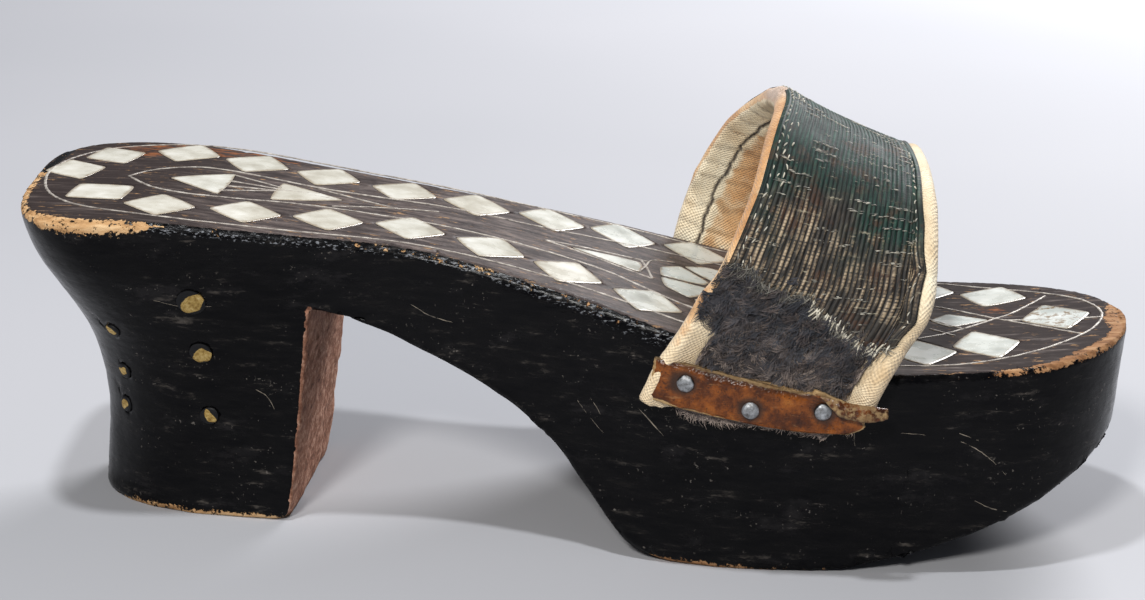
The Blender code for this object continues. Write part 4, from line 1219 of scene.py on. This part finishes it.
def make_felt():
    rows, columns = 120, 34
    along = np.linspace(-0.6 * MM, STRAP.length, rows)
    across = np.linspace(0, 1, columns)
    s, u = np.meshgrid(along, across, indexing="ij")
    width = STRAP.width(s)
    margin = 1.3 * MM
    d = margin + (width - 2 * margin) * u
    rear, front = hem_width(s, True), width - hem_width(s, False)
    raised = soft_step(d, rear, rear + 0.8 * MM) * (1 - soft_step(d, front - 0.8 * MM, front))
    high = 2.9 * MM + (FELT_HIGH - 2.9 * MM) * raised
    s = felt_place(s, u)
    base = STRAP.at(s, d / width, high)
    shaggy = MM * rough(base, (0.35, 2.5, 12), (0.22, 0.9, 13))
    upper = STRAP.at(s, d / width, high + shaggy * raised)
    lower = STRAP.at(s, d / width, FELT_LOW)
    tone = np.clip(1.1 - s / (24 * MM), 0, 1)
    made = shell_object("felt_padding", upper, lower, {"tone": tone})
    settle(made, felt_finish("dark_felt"), ["strap_felt"])
    return made


def make_nap():
    """The felt's loose hairs in locks, where the torn cover leaves it bare and below the strip."""
    rng = random.Random(3)
    bundle = Bundle()
    width = STRAP.width(15 * MM)
    for _ in range(LOCKS):
        u = rng.uniform(0.0, 1.0)
        s = rng.uniform(-1.2 * MM, cover_start(u) + 1.8 * MM)
        rear, front = hem_width(s, True) - 0.8 * MM, width - hem_width(s, False) + 0.8 * MM
        if not rear < u * width < front:
            continue
        lock = {"lay": rng.gauss(-pi / 2, 1.0), "curl": rng.uniform(-2.6, 2.6),
                "rise": rng.uniform(0.5, 1.9) * MM, "length": rng.uniform(2.0, 4.4) * MM,
                "tone": min(1.0, max(0.0, 1.1 - s / (20 * MM))) + rng.uniform(-0.6, 0.5)}
        tuft(bundle, rng, s, u, width, lock, rng.randint(14, 24), (0.45, 0.45))
    for _ in range(FRINGE_LOCKS):
        u, s = rng.uniform(0.22, 0.97), rng.uniform(-0.6, 0.6) * MM
        lock = {"lay": rng.gauss(-pi / 2, 0.5), "curl": rng.uniform(-1.2, 1.2), "rise": 0.8 * MM,
                "length": rng.uniform(1.8, 3.4) * MM / LOW_SHARE, "tone": rng.uniform(0.5, 1.1)}
        tuft(bundle, rng, s, u, width, lock, FRINGE_HAIRS, (0.3, 0.5))
    made = mesh_object("felt_nap", bundle.points, bundle.faces, bundle.values)
    return settle(made, felt_finish("felt_hair"))


def felt_place(s, u):
    """Where the felt lies along the strap, since its lower end is trimmed."""
    return trim(s, u) + FELT_START * (1 - soft_step(s, 0, 10 * MM))


def tuft(bundle, rng, s, u, width, lock, count, spread):
    """The hairs of one lock. The spread is in mm, along the strap and across it."""
    for _ in range(count):
        along = felt_place(s, u) + rng.gauss(0, spread[0]) * MM
        hair(bundle, rng, along, u * width + rng.gauss(0, spread[1]) * MM, width, lock)


def hair(bundle, rng, s, d, width, lock):
    """One flat hair of a lock."""
    t = np.linspace(0, 1, 5)
    angle = lock["lay"] + rng.uniform(-0.3, 0.3) + (lock["curl"] + rng.uniform(-0.4, 0.4)) * t
    low = s < TAB_TOP_PLACE
    length = lock["length"] * rng.uniform(0.6, 1.1) * (LOW_SHARE if low else 1.0)
    rise = min(lock["rise"], 0.4 * MM) if low else lock["rise"] * rng.uniform(0.6, 1.3)
    lift = FELT_HIGH - 0.25 * MM + rise * np.sin(pi * np.minimum(t, 0.8))
    line = STRAP.at(s + length * t * np.sin(angle), (d + length * t * np.cos(angle)) / width, lift)
    side = np.cross(line[1] - line[0], line[0] - STRAP.at(s, d / width, 0.0))
    side = side / np.linalg.norm(side) * rng.uniform(0.07, 0.13) * MM
    taper = np.array([1.0, 0.95, 0.8, 0.55, 0.15])[:, None]
    points = np.concatenate([line + side * taper, line - side * taper])
    faces = [(k, k + 1, k + 6, k + 5) for k in range(4)]
    # Painted highlight: the tone rises from each hair's root to its tip, so that the tip turns pale.
    painted_tip_highlight = np.tile(np.array([-0.3, -0.1, 0.2, 0.6, 1.0]), 2)
    bundle.add(points, faces, tone=np.clip(lock["tone"] + rng.uniform(-0.15, 0.15) + painted_tip_highlight, 0, 1.6))


def torn_edge(u):
    """Where the cover is torn off, with its short teeth."""
    teeth = [1.1 * hum(x * 9) + 0.8 * hum(x * 31, 3) for x in u]
    return cover_start(u) + np.array(teeth) * MM


def cover_places(s, u):
    """Width of the strap and distance from its rear edge, for a place on the cover."""
    width = STRAP.width(s)
    return width, COVER_INSET[0] + (width - sum(COVER_INSET)) * u


def make_cover():
    rows, columns = 118, RIBS * 5 + 1
    across = np.linspace(0, 1, columns)
    start, end = torn_edge(across), np.interp(across, COVER_ACROSS, COVER_END)
    t = np.linspace(0, 1, rows)[:, None]
    s = start + (end - start) * t
    u = np.broadcast_to(across, s.shape)
    width, d = cover_places(s, u)
    wave = np.abs(np.sin(pi * RIBS * u))
    base = STRAP.at(s, d / width, COVER_HIGH)
    uneven = MM * rough(base, (0.22, 11, 20), (0.07, 2, 21))
    dips = soft_step(wobble(base, 4.5 * MM, 22), 0.25, 0.55)
    fold = 1 - soft_step(np.minimum(d - COVER_INSET[0], width - COVER_INSET[1] - d), 0, 0.9 * MM)
    ribbed = RIB_DEPTH * wave * (1 - 0.55 * dips) * (1 - fold)
    upper = STRAP.at(s, d / width, COVER_HIGH - RIB_DEPTH + ribbed + uneven + 0.15 * MM - 0.35 * MM * fold)
    lower = STRAP.at(s, d / width, COVER_LOW + 0.1 * MM + uneven)
    cloth = np.stack([d, s, np.zeros_like(s)], axis=-1)
    lowered = np.clip(1.0 - (s - 26 * MM) / (38 * MM), 0, 1)
    rubbed = 0.75 * np.exp(-((s - 33 * MM) / (11 * MM)) ** 2) + 0.55 * zone(s, d, (38, 9), (12, 9))
    rubbed = np.clip(rubbed - 0.35 * soft_step(s, 48 * MM, 62 * MM), -0.4, 1)
    values = {"cloth": cloth, "lowered": lowered, "rubbed": rubbed, "crest": wave}
    made = shell_object("ribbed_cover", upper, lower, values)
    settle(made, cover_finish(), ["strap_cover"])
    return made, (float(width.max()), float((end - start).max())), float(((end - start) * width[0]).mean())


def thread(bundle, path, radius, pale, sides=5):
    bundle.add(*tube(path, sides, radius), pale=pale)


def make_threads():
    """Stitches along the cover's edges, and the frayed ends of its torn edge."""
    rng = random.Random(8)
    bundle = Bundle()
    rear_rows = ((1.2 * MM, 0.85), (2.4 * MM, 0.7), (3.5 * MM, 0.5))
    for inset, chance in rear_rows:
        for s in places_along(rng, 25 * MM, 1.5, 2.3):
            if rng.random() < chance:
                stitch(bundle, rng, s, COVER_INSET[0] + inset + rng.uniform(-0.15, 0.15) * MM)
    for s in places_along(rng, 22 * MM, 1.7, 2.6):
        stitch(bundle, rng, s, STRAP.width(s) - COVER_INSET[1] - rng.uniform(1.0, 1.5) * MM)
    for _ in range(FRAYED_THREADS):
        u = rng.uniform(0.02, 0.98)
        fray(bundle, rng, u, pale_share(u, rng))
    for _ in range(CROSS_THREADS):
        cross_thread(bundle, rng)
    made = bundle.object("cover_threads")
    return settle(made, thread_finish())


def places_along(rng, s, shortest, longest):
    """Places from s on along the strap, with steps of random lengths in mm."""
    while s < STRAP.length - 18 * MM:
        s += rng.uniform(shortest, longest) * MM
        yield s


def stitch(bundle, rng, s, d):
    width = STRAP.width(s)
    if s < cover_start(d / width) + 1 * MM:
        return
    length, slant = rng.uniform(0.7, 1.2) * MM, rng.uniform(-0.5, 0.5) * MM
    t = np.linspace(-0.5, 0.5, 5)
    lift = COVER_HIGH + 0.05 * MM + 0.22 * MM * np.cos(pi * t)
    path = STRAP.at(s + length * t, (d + slant * t) / width, lift)
    radius = 0.155 * MM * np.array([0.5, 0.9, 1.0, 0.9, 0.5])
    thread(bundle, path, radius * rng.uniform(0.8, 1.2), rng.uniform(0.40, 0.95))


def cross_thread(bundle, rng):
    """A short piece of thread that lies across the ribs, in rows and worn patches."""
    u = rng.uniform(0.04, 0.96)
    s = rng.uniform(24 * MM, STRAP.length - 20 * MM)
    s = (round(s / PICK_PITCH) + rng.uniform(-0.12, 0.12)) * PICK_PITCH
    width, d = cover_places(s, u)
    point = STRAP.at(s, d / width, COVER_HIGH)
    worn = hum(*point / (7 * MM)) + 0.6 * hum(*point / (2.5 * MM))
    if worn < 0.12 or s < torn_edge([u])[0] + 1 * MM:
        return
    t = np.linspace(-0.5, 0.5, 4)
    length = rng.uniform(0.4, 1.2) * MM
    lift = COVER_HIGH + 0.06 * MM + 0.06 * MM * np.cos(pi * t)
    path = STRAP.at(s + 0.1 * MM * t, (d + length * t) / width, lift)
    pale = rng.choice((0.0, 0.15, 0.3, 0.45, 0.7))
    thread(bundle, path, 0.085 * MM * np.array([0.4, 1.0, 1.0, 0.4]), pale, sides=4)


def pale_share(u, rng):
    if 0.42 < u < 0.98 and rng.random() < 0.34:
        return rng.uniform(0.75, 1.0)
    return rng.uniform(0.0, 0.3)


def fray(bundle, rng, u, pale):
    """One thread that hangs out of the torn edge: pale ones thick and straight, dark ones fine."""
    thick = pale > 0.5
    s = torn_edge([u])[0] + rng.uniform(0.2, 1.2) * MM
    width, d = cover_places(s, u)
    length = (rng.uniform(1.4, 3.4) if thick else rng.uniform(1.5, 4.2)) * MM
    lean, curl = rng.gauss(0, 0.22 if thick else 0.5), rng.gauss(0, 0.3 if thick else 0.8)
    t = np.linspace(0, 1, 6)
    angle = lean + curl * t
    along = s - length * t * np.cos(angle)
    across = (d + length * t * np.sin(angle)) / width
    lift = COVER_HIGH - 0.3 * MM + rng.uniform(0.0, 0.8) * MM * np.sin(pi * t) - 0.6 * MM * t
    path = STRAP.at(along, across, lift)
    thread(bundle, path, (0.19 if thick else 0.08) * MM * (1.1 - 0.5 * t), pale, sides=4)


# Leather strips and fasteners


def tab_spans(node, side):
    """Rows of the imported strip: each drop below the footbed with where the strip starts and ends."""
    tree = solid_tree(node)
    low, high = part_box(node)
    scan = np.arange(low.x, high.x, 0.2 * MM)
    spans = []
    for drop in np.arange(2 * MM, 15 * MM, 0.25 * MM):
        held = [x for x in scan if cast(tree, (x, side, bed_height(x) - drop), (0, -side, 0))]
        if len(held) > 3:
            spans.append((drop, min(held), max(held)))
    return np.array(spans)


def wall_place(x, drop, lift, side):
    """A point outside the wall, below the footbed's edge."""
    edges = BED_NEAR if side < 0 else BED_FAR
    behind, edge, ahead = (np.interp(x + step, BED_X, edges) for step in (-WALL_STEP, 0, WALL_STEP))
    slope = (ahead - behind) / (2 * WALL_STEP)
    out = np.stack([-slope * side, np.ones_like(slope)], axis=-1)
    out /= np.linalg.norm(out, axis=-1, keepdims=True)
    away = lift + WALL_GAP
    return np.stack([x + out[..., 0] * away, edge + side * out[..., 1] * away, bed_height(x) - drop], axis=-1)


def make_tab(node, side, finish):
    spans = tab_spans(node, side)
    rows, columns = 26, 90
    drops = np.linspace(spans[0, 0], spans[-1, 0], rows)
    rear = np.interp(drops, spans[:, 0], spans[:, 1]) + TAB_PULL
    front = np.interp(drops, spans[:, 0], spans[:, 2])
    front = np.minimum(front, front.max() - CURL_REACH)
    share = np.linspace(0, 1, columns)
    down = np.linspace(0, 1, rows)
    v, u = np.meshgrid(down, share, indexing="ij")
    x = rear[:, None] + (front - rear)[:, None] * u
    drop = np.broadcast_to(drops[:, None], x.shape).copy()
    flat = np.stack([x, drop, np.zeros_like(x)], axis=-1)
    edge = np.minimum.reduce([v, 1 - v, u * 3.5, (1 - u) * 3.5])
    outer = 1 - soft_step(edge, 0.0, 0.14)
    drop += outer * MM * rough(flat, (0.40, 3.5, 30 + side), (0.25, 1.0, 31 + side))
    x = x + outer * MM * rough(flat, (0.5, 3.0, 33 + side), (0.4, 1.0, 34 + side))
    curl = soft_step(u, 0.80, 1.0) * (1 - soft_step(v, 0.15, 0.75))
    nails = [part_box(n) for n in NODES if n.startswith("nail_" + node.split("_")[1])]
    stained, dimple = np.zeros_like(x), np.zeros_like(x)
    for low, high in nails:
        reach = np.hypot(x - (low.x + high.x) / 2, bed_height(x) - drop - (low.z + high.z) / 2)
        stained = np.maximum(stained, 1 - soft_step(reach, 1.9 * MM, 3.4 * MM))
        dimple = np.maximum(dimple, 1 - soft_step(reach, 2.2 * MM, 5.5 * MM))
    stained = np.maximum(stained, 0.75 * (1 - soft_step(np.abs(v - 0.06), 0.02, 0.09)) * (u < 0.9))
    bulge = MM * rough(flat, (0.45, 9, 36), (0.12, 2.5, 37))
    crown = 0.5 * MM * soft_step(edge, 0.0, 0.2)
    high = TAB_HIGH - 0.25 * MM + crown + (bulge + 0.35 * MM) * (1 - dimple) + curl * 0.8 * MM
    low = TAB_LOW + 0.15 * MM + curl * 0.6 * MM
    upper = wall_place(x, drop - curl * 0.8 * MM, np.maximum(high, low + 0.5 * MM), side)
    lower = wall_place(x, drop - curl * 0.8 * MM, low, side)
    values = {"border": np.maximum(1 - soft_step(edge, 0.0, 0.12), curl), "stained": stained}
    made = shell_object(node.replace("leather", "leather_strip"), upper, lower, values)
    settle(made, finish, [node])
    return spans


def make_curl(spans, finish):
    """The front of the near strip's upper edge, curled outward so that its pale side shows."""
    rear, front = spans[:, 1].min(), spans[:, 2].max()
    rows, columns = len(CURL_SHAPE) * 3 - 2, 34
    shape = smooth_route(CURL_SHAPE, 0.01)
    shape = shape[np.linspace(0, len(shape) - 1, rows).astype(int)]
    v, u = np.meshgrid(np.linspace(0, 1, rows), np.linspace(0, 1, columns), indexing="ij")
    start = rear + CURL_START * (front - rear)
    x = start + (front - start) * u
    places = np.linspace(start, front, 12)
    edge = [min(d for d, low, high in spans if low <= a <= high) for a in places]
    drop = np.interp(x, places, np.convolve(np.pad(edge, 1, "edge"), np.full(3, 1 / 3), "valid"))
    flat = np.stack([x, v * 4 * MM, np.zeros_like(x)], axis=-1)
    ragged = rough(flat, (0.35, 3.0, 41), (0.22, 0.9, 42))
    open_share = soft_step(u, 0.0, 0.30) * (1 - 0.35 * soft_step(u, 0.75, 1.0))
    along = np.gradient(shape, axis=0)
    across = np.column_stack([along[:, 1], -along[:, 0]])
    across /= np.linalg.norm(across, axis=1, keepdims=True)
    grids = []
    for half in (0.34, -0.34):
        fall = shape[:, :1] * open_share + across[:, :1] * half + ragged * v ** 2
        lift = shape[:, 1:] * open_share + across[:, 1:] * half + 0.15 * ragged
        end = x + 0.6 * MM * ragged * soft_step(u, 0.8, 1.0)
        sink = CURL_SINK * u
        grids.append(wall_place(end, drop + (fall + sink) * MM, TAB_HIGH + (0.35 + lift) * MM, -1))
    stained = 0.42 + rough(flat, (0.25, 3, 44)) + 0.3 * (1 - soft_step(v, 0.0, 0.3))
    stained += 0.4 * soft_step(v, 0.85, 1.0)
    values = {"border": 0.65 + rough(flat, (0.1, 2, 43)), "stained": stained}
    made = shell_object("leather_curl", grids[0], grids[1], values)
    return settle(made, finish)


def axis_of(node):
    """A round node's axis, its outer end and its largest radius there."""
    points = np.unique(np.round([v.co for v in NODES[node].data.vertices], 7), axis=0)
    centre = points.mean(axis=0)
    way = np.linalg.svd(points - centre)[2][0]
    if way @ (centre * (0, 1, 0)) < 0:
        way = -way
    reach = (points - centre) @ way
    top = centre + way * reach.max()
    outer = points[reach > reach.max() - 1.2 * MM]
    radius = np.linalg.norm(np.cross(outer - top, way), axis=1).max()
    return Vector(way), Vector(top), radius, reach.max() - reach.min()


def make_round(node, name, profile, spread, seed, finish, shown):
    """A turned piece with an uneven rim."""
    way, top, radius, length = axis_of(node)
    radius *= spread
    turn = way.to_track_quat("Z", "Y")
    sides = 32
    points, painted = [], []
    rows = profile + [(profile[-1][0], -length / MM)]
    for share, height in rows:
        for k in range(sides):
            angle = 2 * pi * k / sides
            wave = hum(cos(angle) * 0.8 + seed * 3.7, sin(angle) * 0.8, seed * 1.3)
            r = radius * share * (1 + ROUND_UNEVEN * wave * (height > -0.45))
            points.append(top + turn @ Vector((r * cos(angle), r * sin(angle), height * MM)))
            painted.append(share * (1 + 0.8 * wave) / shown)
    made = mesh_object(name, points, capped_faces(len(rows), sides), {"painted": painted})
    outward(made.data)
    made.data.set_sharp_from_angle(angle=radians(60))
    return settle(made, finish, [node])


# Profiles from the middle outward and down: (share of the radius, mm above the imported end)
NAIL_PROFILE = [(0.05, 0.10), (0.45, 0.06), (0.75, -0.05), (0.95, -0.28), (1.0, -0.45), (0.97, -0.68),
                (0.28, -0.70)]
PIN_PROFILE = [(0.05, 0.22), (0.4, 0.22), (0.7, 0.19), (0.9, 0.12), (1.0, 0.0), (0.99, -0.3), (0.62, -0.5)]
NAIL_SPREAD = 0.88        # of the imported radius
PIN_SPREAD = 1.30
ROUND_UNEVEN = 0.10
# The share of the radius that no paint covers. The nails have no paint.
NAIL_SHOWN = 1.1
PINS_SHOWN = (0.75, 0.59, 0.51, 0.56, 0.56, 0.56)


def make_fasteners():
    steel = metal_finish("nail_steel", (0.10, 0.095, 0.09), (0.30, 0.31, 0.32), (0.58, 0.60, 0.62), 0.36)
    brass = metal_finish("pin_brass", (0.20, 0.11, 0.030), (0.50, 0.34, 0.11), (0.78, 0.60, 0.28), 0.38)
    for number, node in enumerate(sorted(n for n in NODES if n.startswith("nail_"))):
        name = node.replace("nail", "nail_head")
        make_round(node, name, NAIL_PROFILE, NAIL_SPREAD, number, steel, NAIL_SHOWN)
    for number, node in enumerate(sorted(n for n in NODES if n.startswith("pin_"))):
        name = node.replace("pin", "brass_pin")
        make_round(node, name, PIN_PROFILE, PIN_SPREAD, 20 + number, brass, PINS_SHOWN[number])


# Floor and light


# Area lights: name, place, target, size in metres, watts and colour
LIGHTS = (("back", (0.55, 1.20, 0.85), (0.22, 0.90, 0.0), 0.8, 27.0, (0.98, 0.98, 1.0)),
          ("top", (-0.12, -0.20, 0.95), (0, 0, 0.03), 0.07, 4.6, (0.96, 0.98, 1.0)),
          ("front", (-0.20, -1.0, 0.72), (0, 0, 0.04), 0.20, 11.0, (1.0, 0.985, 0.95)))
SKY_COLOR = (0.86, 0.90, 1.0, 1)
SKY_STRENGTH = 0.15
FLOOR_HALF = 6.0          # metres
FLOOR_DROP = 0.02 * MM


def make_floor():
    bm = bmesh.new()
    bmesh.ops.create_grid(bm, x_segments=8, y_segments=8, size=FLOOR_HALF)
    mesh = bpy.data.meshes.new("floor")
    bm.to_mesh(mesh)
    bm.free()
    floor = bpy.data.objects.new("floor", mesh)
    floor.location.z = -FLOOR_DROP
    bpy.context.scene.collection.objects.link(floor)
    mesh.materials.append(floor_finish())


def area_light(name, place, target, size, energy, color):
    data = bpy.data.lights.new(name, "AREA")
    data.shape = "DISK"
    data.size = size
    data.energy = energy
    data.color = color
    lamp = bpy.data.objects.new(name, data)
    lamp.location = place
    lamp.rotation_mode = "QUATERNION"
    lamp.rotation_quaternion = (Vector(target) - Vector(place)).to_track_quat("-Z", "Y")
    bpy.context.scene.collection.objects.link(lamp)


def make_light():
    world = bpy.data.worlds.new("studio")
    world.use_nodes = True
    sky = world.node_tree.nodes["Background"]
    sky.inputs["Color"].default_value = SKY_COLOR
    sky.inputs["Strength"].default_value = SKY_STRENGTH
    bpy.context.scene.world = world
    for light in LIGHTS:
        area_light(*light)
    bpy.context.scene.view_settings.view_transform = "Standard"


def main():
    make_camera()
    make_sole()
    make_plates()
    make_wires()
    make_scratches()
    lining = make_lining()
    make_felt()
    make_nap()
    cover, flat, area = make_cover()
    threads = make_threads()
    leather = leather_finish()
    spans = make_tab("leather_near", -1, leather)
    make_curl(spans, leather)
    make_tab("leather_far", 1, leather)
    make_fasteners()
    make_floor()
    make_light()


main()
